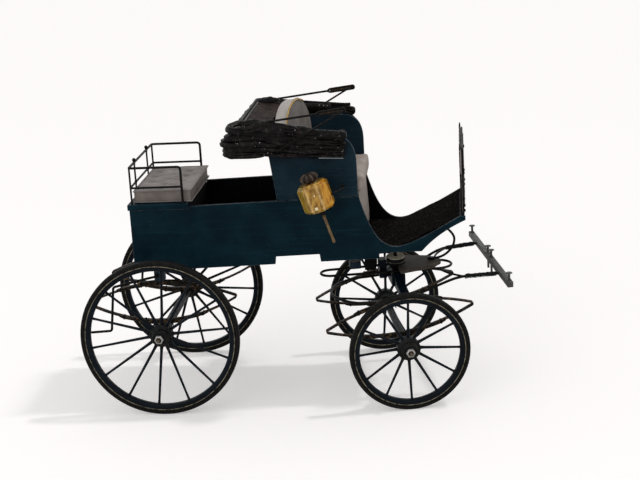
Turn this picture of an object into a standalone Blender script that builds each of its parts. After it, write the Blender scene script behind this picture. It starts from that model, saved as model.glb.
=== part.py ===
"""A small model of an open phaeton: a boat-shaped body on four spoked wheels,
with a folding hood, two side lamps and a steering fore-carriage.

The vehicle is drawn with x = 0 over the rear axle, x growing towards the
shafts, y = 0 on the centre line with +y to the left, and z = 0 on the ground.
It then hangs from one empty that puts the origin on the ground under the
middle of the whole vehicle's box.
"""

import math

import bmesh
import bpy
from mathutils import Matrix, Vector

MM = 0.001

# Clearances
GAP = 0.3 * MM
RUNNING_GAP = 0.3 * MM

# Wheels
REAR_WHEEL_RADIUS = 70.0 * MM
FRONT_WHEEL_RADIUS = 52.4 * MM
REAR_SPOKES = 14
FRONT_SPOKES = 12
REAR_SPOKE_TURN = {"right": math.radians(-5.7), "left": math.radians(7.1)}
FRONT_SPOKE_TURN = {"right": 0.0, "left": math.radians(-3.0)}
TYRE_WIDTH = 6.8 * MM
TYRE_THICKNESS = 3.8 * MM
TYRE_SHOULDER = 1.2 * MM
FELLOE_WIDTH = 6.0 * MM
FELLOE_DEPTH = 4.9 * MM
HUB_HALF_TRACK = 69.7 * MM
WHEEL_DISH = 8.2 * MM
NAVE_REACH = 11.0 * MM
NAVE_RADIUS = 7.2 * MM
NAVE_END_RADIUS = 6.7 * MM
NAVE_LIP = 1.2 * MM
NAVE_FLANGE_RADIUS = 10.2 * MM
NAVE_FLANGE_HALF = 3.0 * MM
SPOKE_ROOT_RADIUS = 1.25 * MM
SPOKE_TIP_RADIUS = 0.95 * MM
SPOKE_ROOT_DEPTH = 1.4 * MM
SPOKE_TIP_DEPTH = 2.0 * MM
WHEEL_SEGMENTS = 40
NAVE_SEGMENTS = 16

# Axles
SPINDLE_RADIUS = 2.0 * MM
SPINDLE_END = 5.7 * MM
NUT_RADIUS = 4.0 * MM
NUT_THICKNESS = 3.2 * MM
REAR_BEAM_WIDTH = 8.0 * MM
REAR_BEAM_HEIGHT = 5.4 * MM
FRONT_BEAM_WIDTH = 7.0 * MM
FRONT_BEAM_HEIGHT = 5.4 * MM

# Springs; the leaf shares say how far each added leaf reaches towards the ends
SPRING_WIDTH = 5.0 * MM
SPRING_LEAF = 1.4 * MM
SPRING_STEP = 1.15 * MM
SPRING_EYE = 0.8 * MM
SPRING_INSET = 3.6 * MM
SPRING_LEAF_SHARES = (0.62, 0.30)
REAR_SPRING_HALF_LENGTH = 67.0 * MM
REAR_SPRING_RISE = 18.0 * MM
REAR_SPRING_DROP = 22.0 * MM
REAR_SPRING_PITCH = math.radians(1.5)
REAR_SPRING_OFFSET = -2.1 * MM
FRONT_SPRING_HALF_LENGTH = 65.8 * MM
FRONT_SPRING_RISE = 17.8 * MM
FRONT_SPRING_DROP = 17.2 * MM
FRONT_SPRING_PITCH = math.radians(6.7)
FRONT_SPRING_OFFSET = -4.7 * MM
BLOCK_HEIGHT = 9.6 * MM
BLOCK_HALF_LENGTH = 4.5 * MM
BLOCK_HALF_WIDTH = 3.8 * MM

# Body shell: widths, then lengths from the tail forward, then heights from the sill up
BODY_HALF_WIDTH = 50.3 * MM
PANEL_THICKNESS = 3.0 * MM
BOARD_THICKNESS = 2.4 * MM
BODY_REAR_X = -23.3 * MM
REAR_BOARD_LENGTH = 51.7 * MM
REAR_WELL_LENGTH = 78.0 * MM
SEAT_LENGTH = 69.9 * MM
FOOTWELL_SETBACK = 0.3 * MM
FOOTWELL_LENGTH = 30.4 * MM
TOE_LENGTH = 55.8 * MM
TOE_TIP_LENGTH = 4.1 * MM
TOE_TIP_DEPTH = 4.0 * MM
TOE_ROOT_LENGTH = 34.1 * MM
FRONT_NOTCH_LENGTH = 36.7 * MM
REAR_NOTCH_LEAD = 5.0 * MM
REAR_NOTCH_LENGTH = 39.8 * MM
NOTCH_DEPTH = 6.8 * MM
NOTCH_SPLAY = 0.8 * MM
HEEL_SETBACK = 1.3 * MM
BODY_DEPTH = 56.4 * MM
BODY_SLOPE = 0.0272
FRONT_NOTCH_RISE = 11.2 * MM
FLOOR_RISE = 11.7 * MM
FLOOR_THICKNESS = 2.6 * MM
FOOTWELL_LIP = 1.9 * MM
TOE_RISE = 41.8 * MM
TOE_FLOOR_SETBACK = 2.0 * MM
TOE_BOARD_DROP = 2.2 * MM
MAT_THICKNESS = 0.9 * MM
MAT_END_GAP = 1.0 * MM

# Rear seat
REAR_BOARD_STAND = 4.3 * MM
REAR_BOARD_THICKNESS = 5.0 * MM
REAR_BOARD_OVERHANG = 1.3 * MM
REAR_CUSHION_HEIGHT = 11.8 * MM
REAR_CUSHION_SIDE_GAP = 3.05 * MM
REAR_CUSHION_OVERHANG = 3.2 * MM
REAR_CUSHION_EDGE = 2.0 * MM
RAIL_RADIUS = 0.85 * MM
THIN_RAIL_RADIUS = 0.68 * MM
RAIL_HEIGHT = 32.3 * MM
LOWER_RAIL_HEIGHT = 14.7 * MM
RAIL_INSET = 1.9 * MM
RAIL_REAR_INSET = 2.5 * MM
RAIL_FRONT_INSET = 4.0 * MM
RAIL_CORNER = 3.0 * MM
LOWER_RAIL_CORNER = 2.0 * MM
RAIL_POST_INSET = 1.0 * MM
RAIL_POST_LEAD = 0.2 * MM
SPINDLE_HALF_SPACING = 26.0 * MM
SPINDLE_ROD_RADIUS = 0.64 * MM
BALL_RADIUS = 1.7 * MM
BALL_LIFT = 1.2 * MM

# Front seat
SEAT_SIDE_HEIGHT = 58.3 * MM
SEAT_RAKE = 0.1232
SEAT_CORNER = 18.0 * MM
SEAT_BACK_DROP = 1.0 * MM
FRONT_CUSHION_HEIGHT = 15.0 * MM
FRONT_CUSHION_SIDE_GAP = 2.8 * MM
FRONT_CUSHION_OVERHANG = 4.7 * MM
FRONT_CUSHION_EDGE = 3.0 * MM
FALL_THICKNESS = 1.2 * MM
FALL_FOOT_GAP = 3.0 * MM
BACK_CUSHION_HALF_WIDTH = 37.0 * MM
BACK_CUSHION_HEIGHT = 58.0 * MM
BACK_CUSHION_SHOULDER = 30.2 * MM
BACK_CUSHION_THICKNESS = 11.5 * MM
BACK_CUSHION_LEAD = 20.1 * MM
BACK_CUSHION_TURN = math.radians(12.0)
BACK_CUSHION_RAKE = math.radians(5.0)

# Dash
DASH_HEIGHT = 58.0 * MM
DASH_THICKNESS = 3.2 * MM
DASH_INSET = 1.8 * MM
DASH_RIM = 2.4 * MM
DASH_RECESS = 0.5 * MM

# Fore-carriage, measured from the kingpin along its own line of travel
KINGPIN_SETBACK = 4.0 * MM
STEER_AT_REST = math.radians(10.9)
FRONT_AXLE_OFFSET = -1.6 * MM
KINGPIN_RADIUS = 1.5 * MM
PIN_NUT_RADIUS = 3.3 * MM
PIN_NUT_HEIGHT = 3.0 * MM
BED_HEIGHT = 13.1 * MM
BED_HALF_LENGTH = 6.0 * MM
BED_END_HALF_LENGTH = 4.0 * MM
BED_END_MARGIN = 1.5 * MM
BED_END_DEPTH = 5.0 * MM
BED_FOOT_DEPTH = 6.0 * MM
BED_CENTRE_HALF = 19.0 * MM
BED_TAPER = 12.0 * MM
BED_TAPER_RISE = 1.0 * MM
BED_CORE_INSET = 2.0 * MM
BED_CORE_REVEAL = 0.5 * MM
BED_FOOT_REVEAL = 1.0 * MM
CUP_RADIUS = 8.5 * MM
CUP_HEIGHT = 12.5 * MM
RISER_LENGTH = 6.6 * MM
RISER_HEIGHT = 10.8 * MM
RISER_HALF_WIDTH = 6.0 * MM
LOOP_RADIUS = 1.0 * MM
LOOP_REAR_X = -67.6 * MM
LOOP_FRONT_X = 50.4 * MM
LOOP_REAR_HALF = 9.5 * MM
LOOP_FRONT_HALF = 13.0 * MM
PLATE_THICKNESS = 3.2 * MM
PLATE_ROOT_X = 1.0 * MM
PLATE_ROOT_HALF = 26.0 * MM
PLATE_NOSE_HALF = 8.0 * MM
PLATE_NOSE_TURN = math.radians(62.0)
PLATE_LENGTH = 41.0 * MM
CLAMP_SIZE = 10.0 * MM
CLAMP_HEIGHT = 7.0 * MM
CLAMP_X = -36.0 * MM
CLAMP_Y = 5.5 * MM
HOOP_RADIUS = 1.1 * MM
HOOP_SIDE_GAP = 2.1 * MM
HOOP_CENTRE_X = -18.1 * MM
HOOP_DROP = 17.7 * MM
STRUT_RADIUS = 0.88 * MM
STRUT_LIFT = 0.4 * MM
ARM_RISE = 3.3 * MM
ARM_FLARE = 8.0 * MM
BAR_X = 85.9 * MM
BAR_LENGTH = 168.0 * MM
BAR_WIDTH = 5.0 * MM
BAR_HEIGHT = 5.0 * MM
BOLT_END_MARGIN = 5.2 * MM
BOLT_INNER = 6.8 * MM
BOLT_RADIUS = 1.1 * MM
BOLT_HEAD_RADIUS = 2.8 * MM
BOLT_HEAD_THICKNESS = 1.0 * MM
BOLT_RISE = 7.0 * MM
BOLT_DROP = 9.0 * MM
TRANSOM_FRONT = -17.0 * MM
TRANSOM_LENGTH = 10.0 * MM
TRANSOM_HALF_WIDTH = 10.5 * MM

# The bent stay: how far ahead of the tongue plate's nose, and how high, each bend lies
STAY_RADIUS = 1.1 * MM
STAY_CORNER = 8.0 * MM
STAY_BENDS = (
    (-11.0 * MM, 0.0), (-2.5 * MM, 0.0), (9.5 * MM, 7.0 * MM), (13.5 * MM, 18.0 * MM),
    (7.0 * MM, 26.0 * MM), (2.0 * MM, 30.0 * MM),
)

# Each arm: shares of the way out to the splinter bar, of the flare and of the rise
ARM_BENDS = ((1.0, 1.0, 1.0), (0.62, 0.625, 0.943), (0.38, 0.075, 0.6), (0.19, 0.0, 0.314), (0.0, 0.0, 0.09))

# Turned profiles, as shares of height and of radius
CUP_TURNING = ((0.0, 0.42), (0.14, 0.50), (0.36, 0.78), (0.62, 0.96), (0.80, 1.0), (1.0, 1.0))
CAP_TURNING = ((0.0, 1.0), (0.35, 1.0), (0.75, 0.68), (1.0, 0.25))

# Steps
STEP_RADIUS = 1.0 * MM
STEP_CORNER = 2.5 * MM
STEP_LEAD = 3.0 * MM
STEP_HEAD_DROP = 3.2 * MM
STEP_SOCKET = 4.0 * MM
STEP_SHOULDER = 8.0 * MM
STEP_SHOULDER_BACK = 6.0 * MM
STEP_SHOULDER_DROP = 0.8 * MM
STEP_REACH = 13.2 * MM
STEP_KNEE_BACK = 34.0 * MM
STEP_KNEE_DROP = 6.0 * MM
STEP_FOOT_BACK = 39.0 * MM
STEP_DROP = 40.0 * MM
STEP_TREAD = 18.0 * MM
STEP_TREAD_DROP = 1.0 * MM

# Lamps
LAMP_RADIUS = 14.5 * MM
LAMP_HEIGHT = 28.6 * MM
LAMP_BEVEL = 3.4 * MM
LAMP_CLEARANCE = 2.4 * MM
LAMP_SETBACK = 34.0 * MM
LAMP_RISE = 10.4 * MM
LAMP_TILT = math.radians(-18.0)
LAMP_PIVOT_SETBACK = 12.8 * MM
LAMP_PIVOT_RISE = 15.3 * MM
LAMP_WIRE_RADIUS = 0.7 * MM
LAMP_WIRE_BEND = 2.0 * MM
LAMP_WIRE_STAND = 3.0 * MM
LAMP_WIRE_RISE = 0.8 * MM
LAMP_COLLAR_RADIUS = 3.2 * MM
LAMP_COLLAR_HEIGHT = 1.5 * MM
CAP_RADIUS = 7.6 * MM
CAP_HEIGHT = 6.6 * MM
CORE_RADIUS = 1.8 * MM
STEM_RADIUS = 1.25 * MM
STEM_LENGTH = 27.0 * MM

# Hood: places are measured from the front seat's front, rear and top edges
HOOD_PIVOT_SETBACK = 5.8 * MM
HOOD_PIVOT_DROP = 5.0 * MM
ROLL_HALF_HEIGHT = 3.75 * MM
ROLL_HALF_WIDTH = 4.6 * MM
ROLL_SETBACK = 6.8 * MM
ROLL_LEVEL_LENGTH = 9.5 * MM
ROLL_DROP = 14.0 * MM
ROLL_SLOPE = 0.058
ROLL_SPREAD = 0.022
ROLL_SIDE_OVERHANG = 11.4 * MM
ROLL_REAR_OVERHANG = (37.4 * MM, 41.4 * MM, 35.4 * MM)
ROLL_CORNER = 9.0 * MM
BOW_INSET = 2.0 * MM
BOW_THICKNESS = 2.2 * MM
BOW_DEPTH = 2.8 * MM
BOW_SETBACK = 4.0 * MM
BOW_REAR_OVERHANG = 26.4 * MM
BOW_REAR_RISE = 0.9 * MM
BOW_CORNER = 3.0 * MM
CURTAIN_THICKNESS = 1.2 * MM
CURTAIN_SIDE_GAP = 4.4 * MM
CURTAIN_HEAD_DROP = 1.0 * MM
CURTAIN_FOOT_OVERHANG = 11.9 * MM
CURTAIN_FOOT_RISE = 4.0 * MM
IRON_RADIUS = 0.85 * MM
IRON_A_OVERHANG = 13.4 * MM
IRON_FOOT_LEAD = 4.6 * MM
IRON_FOOT_RISE = 5.0 * MM
ELBOW_SETBACK = 9.0 * MM
ELBOW_RISE = 8.6 * MM
ELBOW_CORNER = 1.0 * MM
HAIRPIN_LENGTH = 25.0 * MM
HAIRPIN_TAPER = 3.0 * MM
HAIRPIN_CORNER = 1.4 * MM

# Widths that follow from the ones above
INNER_HALF = BODY_HALF_WIDTH - PANEL_THICKNESS
INSIDE_FIT = INNER_HALF - GAP
SPRING_HALF_TRACK = BODY_HALF_WIDTH - SPRING_INSET
REAR_BOARD_HALF_WIDTH = BODY_HALF_WIDTH + REAR_BOARD_OVERHANG
RAIL_HALF_WIDTH = REAR_BOARD_HALF_WIDTH - RAIL_INSET
REAR_CUSHION_HALF_WIDTH = RAIL_HALF_WIDTH - RAIL_RADIUS - REAR_CUSHION_SIDE_GAP
FRONT_CUSHION_HALF_WIDTH = INNER_HALF - FRONT_CUSHION_SIDE_GAP
DASH_HALF_WIDTH = BODY_HALF_WIDTH - DASH_INSET
HOOP_HALF_WIDTH = SPRING_HALF_TRACK - SPRING_WIDTH / 2 - HOOP_RADIUS - HOOP_SIDE_GAP
BOLT_OUTER = BAR_LENGTH / 2 - BOLT_END_MARGIN
STEP_ROOT = SPRING_HALF_TRACK + BLOCK_HALF_WIDTH + GAP
ROLL_Y = BODY_HALF_WIDTH + 2.0 * GAP + ROLL_HALF_WIDTH
BOW_HALF_WIDTH = ROLL_Y - BOW_INSET
CURTAIN_HALF_WIDTH = BOW_HALF_WIDTH - BOW_THICKNESS / 2 - CURTAIN_SIDE_GAP
IRON_A_Y = BOW_HALF_WIDTH + BOW_THICKNESS / 2 + GAP + IRON_RADIUS
IRON_B_Y = ROLL_Y + ROLL_HALF_WIDTH + GAP + IRON_RADIUS
HAIRPIN_REACH = 2.0 * IRON_RADIUS + RUNNING_GAP
AXLE_SHOULDER = HUB_HALF_TRACK - NAVE_REACH - RUNNING_GAP
NUT_FACE = HUB_HALF_TRACK + NAVE_REACH + RUNNING_GAP
AXLE_END = HUB_HALF_TRACK + NAVE_REACH + SPINDLE_END
BORE_RADIUS = SPINDLE_RADIUS + RUNNING_GAP

# Places along the vehicle
REAR_BOARD_FRONT_X = BODY_REAR_X + REAR_BOARD_LENGTH
RAIL_REAR_X = BODY_REAR_X + RAIL_REAR_INSET
RAIL_FRONT_X = REAR_BOARD_FRONT_X - RAIL_FRONT_INSET
SEAT_SIDE_REAR_X = REAR_BOARD_FRONT_X + REAR_WELL_LENGTH
SEAT_SIDE_FRONT_X = SEAT_SIDE_REAR_X + SEAT_LENGTH
REAR_NOTCH_START = SEAT_SIDE_REAR_X - REAR_NOTCH_LEAD
HEEL_FACE_X = SEAT_SIDE_FRONT_X - HEEL_SETBACK
HEEL_REAR_X = HEEL_FACE_X - BOARD_THICKNESS
FOOTWELL_EDGE_X = SEAT_SIDE_FRONT_X + FOOTWELL_SETBACK
FOOTWELL_LOW_X = FOOTWELL_EDGE_X + FOOTWELL_LENGTH
TOE_X = FOOTWELL_LOW_X + TOE_LENGTH
TOE_ROOT_X = TOE_X - TOE_ROOT_LENGTH
FRONT_NOTCH_X = TOE_ROOT_X - FRONT_NOTCH_LENGTH
KINGPIN_X = FOOTWELL_LOW_X - KINGPIN_SETBACK
BAR_FRONT = BAR_X + BAR_WIDTH / 2
LAMP_X = SEAT_SIDE_FRONT_X - LAMP_SETBACK
LAMP_PIVOT_X = SEAT_SIDE_FRONT_X - LAMP_PIVOT_SETBACK
HOOD_PIVOT_X = SEAT_SIDE_FRONT_X - HOOD_PIVOT_SETBACK
ROLL_FRONT_X = SEAT_SIDE_FRONT_X - ROLL_SETBACK
ROLL_LEVEL_FRONT_X = ROLL_FRONT_X - ROLL_LEVEL_LENGTH
ROLL_LEVEL_X = SEAT_SIDE_REAR_X - ROLL_SIDE_OVERHANG
BOW_REAR_X = SEAT_SIDE_REAR_X - BOW_REAR_OVERHANG
CURTAIN_FOOT_X = SEAT_SIDE_REAR_X - CURTAIN_FOOT_OVERHANG
IRON_A_X = SEAT_SIDE_REAR_X - IRON_A_OVERHANG
IRON_B_X = SEAT_SIDE_REAR_X + IRON_FOOT_LEAD
ELBOW_X = SEAT_SIDE_FRONT_X - ELBOW_SETBACK

# Heights: the body rides on the rear springs, the bed on the front ones
BODY_REAR_BOTTOM = (REAR_WHEEL_RADIUS + REAR_BEAM_HEIGHT / 2 + REAR_SPRING_DROP + REAR_SPRING_RISE
                    + BLOCK_HEIGHT)
BODY_REAR_TOP = BODY_REAR_BOTTOM + BODY_DEPTH
FRONT_NOTCH_TOP = BODY_REAR_BOTTOM + FRONT_NOTCH_RISE
FLOOR_UNDERSIDE = BODY_REAR_BOTTOM + FLOOR_RISE
FLOOR_TOP = FLOOR_UNDERSIDE + FLOOR_THICKNESS
FOOTWELL_LOW_Z = FLOOR_TOP + FOOTWELL_LIP
TOE_Z = BODY_REAR_BOTTOM + TOE_RISE
REAR_BOARD_TOP = BODY_REAR_TOP + REAR_BOARD_STAND
REAR_BOARD_UNDERSIDE = REAR_BOARD_TOP - REAR_BOARD_THICKNESS
SEAT_SIDE_TOP = BODY_REAR_TOP + SEAT_SIDE_HEIGHT
LAMP_Z = BODY_REAR_TOP + LAMP_RISE
LAMP_PIVOT_Z = BODY_REAR_TOP + LAMP_PIVOT_RISE
HOOD_PIVOT_Z = SEAT_SIDE_TOP - HOOD_PIVOT_DROP
ROLL_LOW_Z = SEAT_SIDE_TOP - ROLL_DROP
ROLL_PITCH = 2.0 * ROLL_HALF_HEIGHT + GAP
IRON_B_Z = ROLL_LOW_Z + IRON_FOOT_RISE
BED_TOP = (FRONT_WHEEL_RADIUS + FRONT_BEAM_HEIGHT / 2 + FRONT_SPRING_DROP + FRONT_SPRING_RISE
           + BED_HEIGHT)
HOOP_Z = BED_TOP - HOOP_DROP
ARM_Z = BED_TOP + ARM_RISE
LOOP_Z = BED_TOP + GAP + LOOP_RADIUS
LOOP_TOP = LOOP_Z + LOOP_RADIUS
PLATE_UNDERSIDE = LOOP_TOP + GAP


def scene_reset():
    for old in list(bpy.data.objects):
        bpy.data.objects.remove(old, do_unlink=True)


def material(name, colour, roughness, metallic=0.0):
    made = bpy.data.materials.new(name)
    made.use_nodes = True
    shader = made.node_tree.nodes["Principled BSDF"]
    shader.inputs["Base Color"].default_value = (*colour, 1.0)
    shader.inputs["Roughness"].default_value = roughness
    shader.inputs["Metallic"].default_value = metallic
    made.diffuse_color = (*colour, 1.0)
    return made


def empty(name, parent=None, location=(0, 0, 0), rotation=(0, 0, 0)):
    made = bpy.data.objects.new(name, None)
    made.empty_display_size = 0.01
    made.location = location
    made.rotation_euler = rotation
    made.parent = parent
    bpy.context.scene.collection.objects.link(made)
    return made


def solid(name, bm, look, parent, location=(0, 0, 0), rotation=(0, 0, 0), smooth=None):
    """Turn a bmesh into a named object; smooth is the angle that stays sharp."""
    bmesh.ops.recalc_face_normals(bm, faces=bm.faces)
    mesh = bpy.data.meshes.new(name)
    bm.to_mesh(mesh)
    bm.free()
    if smooth is not None:
        mesh.shade_smooth()
        mesh.set_sharp_from_angle(angle=smooth)
    if look is not None:
        mesh.materials.append(look)
    made = bpy.data.objects.new(name, mesh)
    made.location = location
    made.rotation_euler = rotation
    made.parent = parent
    bpy.context.scene.collection.objects.link(made)
    return made


def join_with(target, bm, name, parent, location=(0, 0, 0), rotation=(0, 0, 0)):
    """Fuse another shape onto a piece, so the two are one closed solid."""
    tool = solid(name, bm, None, parent, location, rotation)
    tool.hide_render = True
    tool.display_type = "WIRE"
    fuse = target.modifiers.new(name, "BOOLEAN")
    fuse.operation = "UNION"
    fuse.solver = "EXACT"
    fuse.object = tool
    return tool


def placed(axis, along, u, v):
    """Turn an outline's two coordinates and a depth into a point."""
    if axis == "X":
        return Vector((along, u, v))
    if axis == "Y":
        return Vector((u, along, v))
    return Vector((u, v, along))


def prism(outline, low, high, axis="Y", bm=None):
    """Extrude a flat outline; the outline is (y, z), (x, z) or (x, y)."""
    bm = bm or bmesh.new()
    near = [bm.verts.new(placed(axis, low, u, v)) for u, v in outline]
    far = [bm.verts.new(placed(axis, high, u, v)) for u, v in outline]
    bm.faces.new(near)
    bm.faces.new(list(reversed(far)))
    for i in range(len(outline)):
        j = (i + 1) % len(outline)
        bm.faces.new((near[i], far[i], far[j], near[j]))
    return bm


def ring_prism(outer, inner, low, high, axis="Y", bm=None):
    """Extrude a closed band between two outlines with as many points each."""
    bm = bm or bmesh.new()
    loops = []
    for along in (low, high):
        for outline in (outer, inner):
            loops.append([bm.verts.new(placed(axis, along, u, v)) for u, v in outline])
    outer_low, inner_low, outer_high, inner_high = loops
    for i in range(len(outer)):
        j = (i + 1) % len(outer)
        bm.faces.new((outer_low[i], outer_low[j], inner_low[j], inner_low[i]))
        bm.faces.new((outer_high[i], outer_high[j], inner_high[j], inner_high[i]))
        bm.faces.new((outer_low[i], outer_low[j], outer_high[j], outer_high[i]))
        bm.faces.new((inner_low[i], inner_low[j], inner_high[j], inner_high[i]))
    return bm


def box(low, high, bm=None):
    outline = [(low[0], low[1]), (high[0], low[1]), (high[0], high[1]), (low[0], high[1])]
    return prism(outline, low[2], high[2], "Z", bm)


def turned(profile, segments, axis="Y", closed=False, start=0.0, bm=None, at=(0, 0, 0)):
    """Spin a profile of (along, radius) pairs; a closed profile makes a ring."""
    bm = bm or bmesh.new()
    at = Vector(at)
    rings = []
    for along, radius in profile:
        if radius <= 0.0:
            rings.append([bm.verts.new(at + placed(axis, along, 0.0, 0.0))])
            continue
        ring = []
        for k in range(segments):
            angle = start + 2.0 * math.pi * k / segments
            u = radius * math.cos(angle)
            v = radius * math.sin(angle)
            ring.append(bm.verts.new(at + placed(axis, along, u, v)))
        rings.append(ring)
    pairs = list(zip(rings, rings[1:]))
    if closed:
        pairs.append((rings[-1], rings[0]))
    for first, second in pairs:
        for k in range(segments):
            n = (k + 1) % segments
            if len(first) == 1 and len(second) == 1:
                continue
            if len(first) == 1:
                bm.faces.new((first[0], second[k], second[n]))
            elif len(second) == 1:
                bm.faces.new((first[k], first[n], second[0]))
            else:
                bm.faces.new((first[k], first[n], second[n], second[k]))
    return bm


def rounded(points, radius, steps=4):
    """Replace each inner corner of an open path by a short arc."""
    points = [Vector(p) for p in points]
    path = [points[0]]
    for before, corner, after in zip(points, points[1:], points[2:]):
        back = before - corner
        ahead = after - corner
        bend = back.angle(ahead)
        reach = radius / math.tan(bend / 2)
        reach = min(reach, back.length * 0.48, ahead.length * 0.48)
        first = corner + back.normalized() * reach
        last = corner + ahead.normalized() * reach
        for k in range(steps + 1):
            t = k / steps
            path.append(first * (1 - t) ** 2 + corner * 2 * t * (1 - t) + last * t ** 2)
    path.append(points[-1])
    return path


def swept(path, section, up=(0, 0, 1), closed=False, bm=None, swell=None):
    """Carry a flat section along a path; swell makes it taller point by point."""
    bm = bm or bmesh.new()
    path = [Vector(p) for p in path]
    count = len(path)
    rings = []
    side = None
    for i, point in enumerate(path):
        before = path[(i - 1) % count] if closed or i > 0 else None
        after = path[(i + 1) % count] if closed or i < count - 1 else None
        into = (point - before).normalized() if before is not None else None
        out = (after - point).normalized() if after is not None else None
        into = into or out
        out = out or into
        along = (into + out).normalized()
        if side is None:
            side = Vector(up).cross(along)
        side = (side - along * side.dot(along)).normalized()
        top = along.cross(side)
        bend = out - into
        stretch = 1.0
        if bend.length > 1e-6:
            bend.normalize()
            stretch = 1.0 / max(into.dot(along), 0.5)
        ring = []
        taller = swell[i] if swell else 1.0
        for u, v in section:
            offset = side * u + top * v * taller
            if stretch > 1.0:
                offset += bend * offset.dot(bend) * (stretch - 1.0)
            ring.append(bm.verts.new(point + offset))
        rings.append(ring)
    sides = len(section)
    spans = list(zip(rings, rings[1:]))
    if closed:
        spans.append((rings[-1], rings[0]))
    for first, second in spans:
        for k in range(sides):
            n = (k + 1) % sides
            bm.faces.new((first[k], first[n], second[n], second[k]))
    if not closed:
        bm.faces.new(list(reversed(rings[0])))
        bm.faces.new(rings[-1])
    return bm


def circle(radius, sides, squash=1.0):
    turn = math.pi / sides
    angles = [turn + 2.0 * math.pi * k / sides for k in range(sides)]
    return [(radius * math.cos(a), radius * squash * math.sin(a)) for a in angles]


def tube(path, radius, sides=6, closed=False, bm=None, up=(0, 0, 1)):
    return swept(path, circle(radius, sides), up, closed, bm)


def cubic(p0, p1, p2, p3, steps):
    """Points on a cubic curve, without its first point."""
    points = []
    for k in range(1, steps + 1):
        t = k / steps
        weights = ((1 - t) ** 3, 3 * t * (1 - t) ** 2, 3 * t * t * (1 - t), t ** 3)
        points.append(tuple(sum(w * p[c] for w, p in zip(weights, (p0, p1, p2, p3))) for c in (0, 1)))
    return points


def sill(x):
    """Height of the body's lower edge."""
    return BODY_REAR_BOTTOM + BODY_SLOPE * (x - BODY_REAR_X)


def gunwale(x):
    """Height of the side panel's upper edge."""
    return BODY_REAR_TOP + BODY_SLOPE * (x - BODY_REAR_X)


def seat_rear(z):
    """The raked rear edge of the front seat."""
    return SEAT_SIDE_REAR_X - SEAT_RAKE * (z - gunwale(SEAT_SIDE_REAR_X))


# Materials and the empties that carry the vehicle
scene_reset()

PAINT = material("navy_paint", (0.012, 0.032, 0.048), 0.42)
AXLE_PAINT = material("axle_paint", (0.010, 0.026, 0.040), 0.4, 0.3)
WELL_PAINT = material("well_black", (0.006, 0.007, 0.009), 0.7)
GREY_LEATHER = material("grey_leather", (0.30, 0.28, 0.28), 0.62)
PALE_LEATHER = material("pale_leather", (0.48, 0.47, 0.46), 0.6)
HOOD_LEATHER = material("hood_leather", (0.022, 0.017, 0.017), 0.55)
IRON = material("black_iron", (0.010, 0.010, 0.011), 0.4, 0.6)
SPRING_STEEL = material("spring_steel", (0.06, 0.042, 0.032), 0.5, 0.7)
RUBBER = material("black_tyre", (0.012, 0.012, 0.012), 0.7)
WHEEL_PAINT = material("wheel_paint", (0.008, 0.018, 0.034), 0.4)
BAR_PAINT = material("bar_grey", (0.16, 0.17, 0.18), 0.5, 0.4)
PLATE_WOOD = material("plate_wood", (0.14, 0.105, 0.085), 0.65)
MAT = material("foot_mat", (0.018, 0.016, 0.015), 0.85)
AMBER = material("amber_glass", (0.78, 0.48, 0.07), 0.15)
BRASS = material("aged_brass", (0.33, 0.21, 0.09), 0.4, 0.8)

overall_left = BAR_FRONT * math.sin(STEER_AT_REST) + BAR_LENGTH / 2 * math.cos(STEER_AT_REST)
overall_front = KINGPIN_X + BAR_FRONT * math.cos(STEER_AT_REST) + BAR_LENGTH / 2 * math.sin(STEER_AT_REST)
tyre_face = HUB_HALF_TRACK + WHEEL_DISH + TYRE_WIDTH / 2
overall_right = (tyre_face * math.cos(STEER_AT_REST)
                 + (FRONT_WHEEL_RADIUS - TYRE_SHOULDER - FRONT_AXLE_OFFSET) * math.sin(STEER_AT_REST))
centre_x = (overall_front - REAR_WHEEL_RADIUS) / 2
centre_y = (overall_left - overall_right) / 2
vehicle = empty("vehicle", None, (-centre_x, -centre_y, 0.0))
fore = empty("fore_carriage", vehicle, (KINGPIN_X, 0.0, 0.0), (0.0, 0.0, STEER_AT_REST))


# Body shell
def footwell_edge():
    """The curved upper edge of a side panel, from the seat to the toe."""
    start = (FOOTWELL_EDGE_X, gunwale(FOOTWELL_EDGE_X))
    low = (FOOTWELL_LOW_X, FOOTWELL_LOW_Z)
    toe = (TOE_X, TOE_Z)
    drop = start[1] - low[1]
    reach = low[0] - start[0]
    first = cubic(start, (start[0] + 0.25 * reach, start[1] - 0.62 * drop),
                  (low[0] - 0.49 * reach, low[1]), low, 8)
    reach = toe[0] - low[0]
    second = cubic(low, (low[0] + 0.2 * reach, low[1]),
                   (toe[0] - 0.41 * reach, toe[1] - 0.23 * reach), toe, 8)
    return [start] + first + second


def toe_underside():
    """The lower edge from the toe back to the front notch."""
    tip = (TOE_X + TOE_TIP_LENGTH, TOE_Z - TOE_TIP_DEPTH)
    root = (TOE_ROOT_X, FRONT_NOTCH_TOP)
    span = tip[0] - root[0]
    rise = tip[1] - root[1]
    points = []
    for k in range(6):
        t = k / 5
        middle = (root[0] + 0.39 * span, root[1] + 0.62 * rise)
        points.append(tuple(tip[c] * (1 - t) ** 2 + middle[c] * 2 * t * (1 - t) + root[c] * t * t
                            for c in (0, 1)))
    return points


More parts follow.
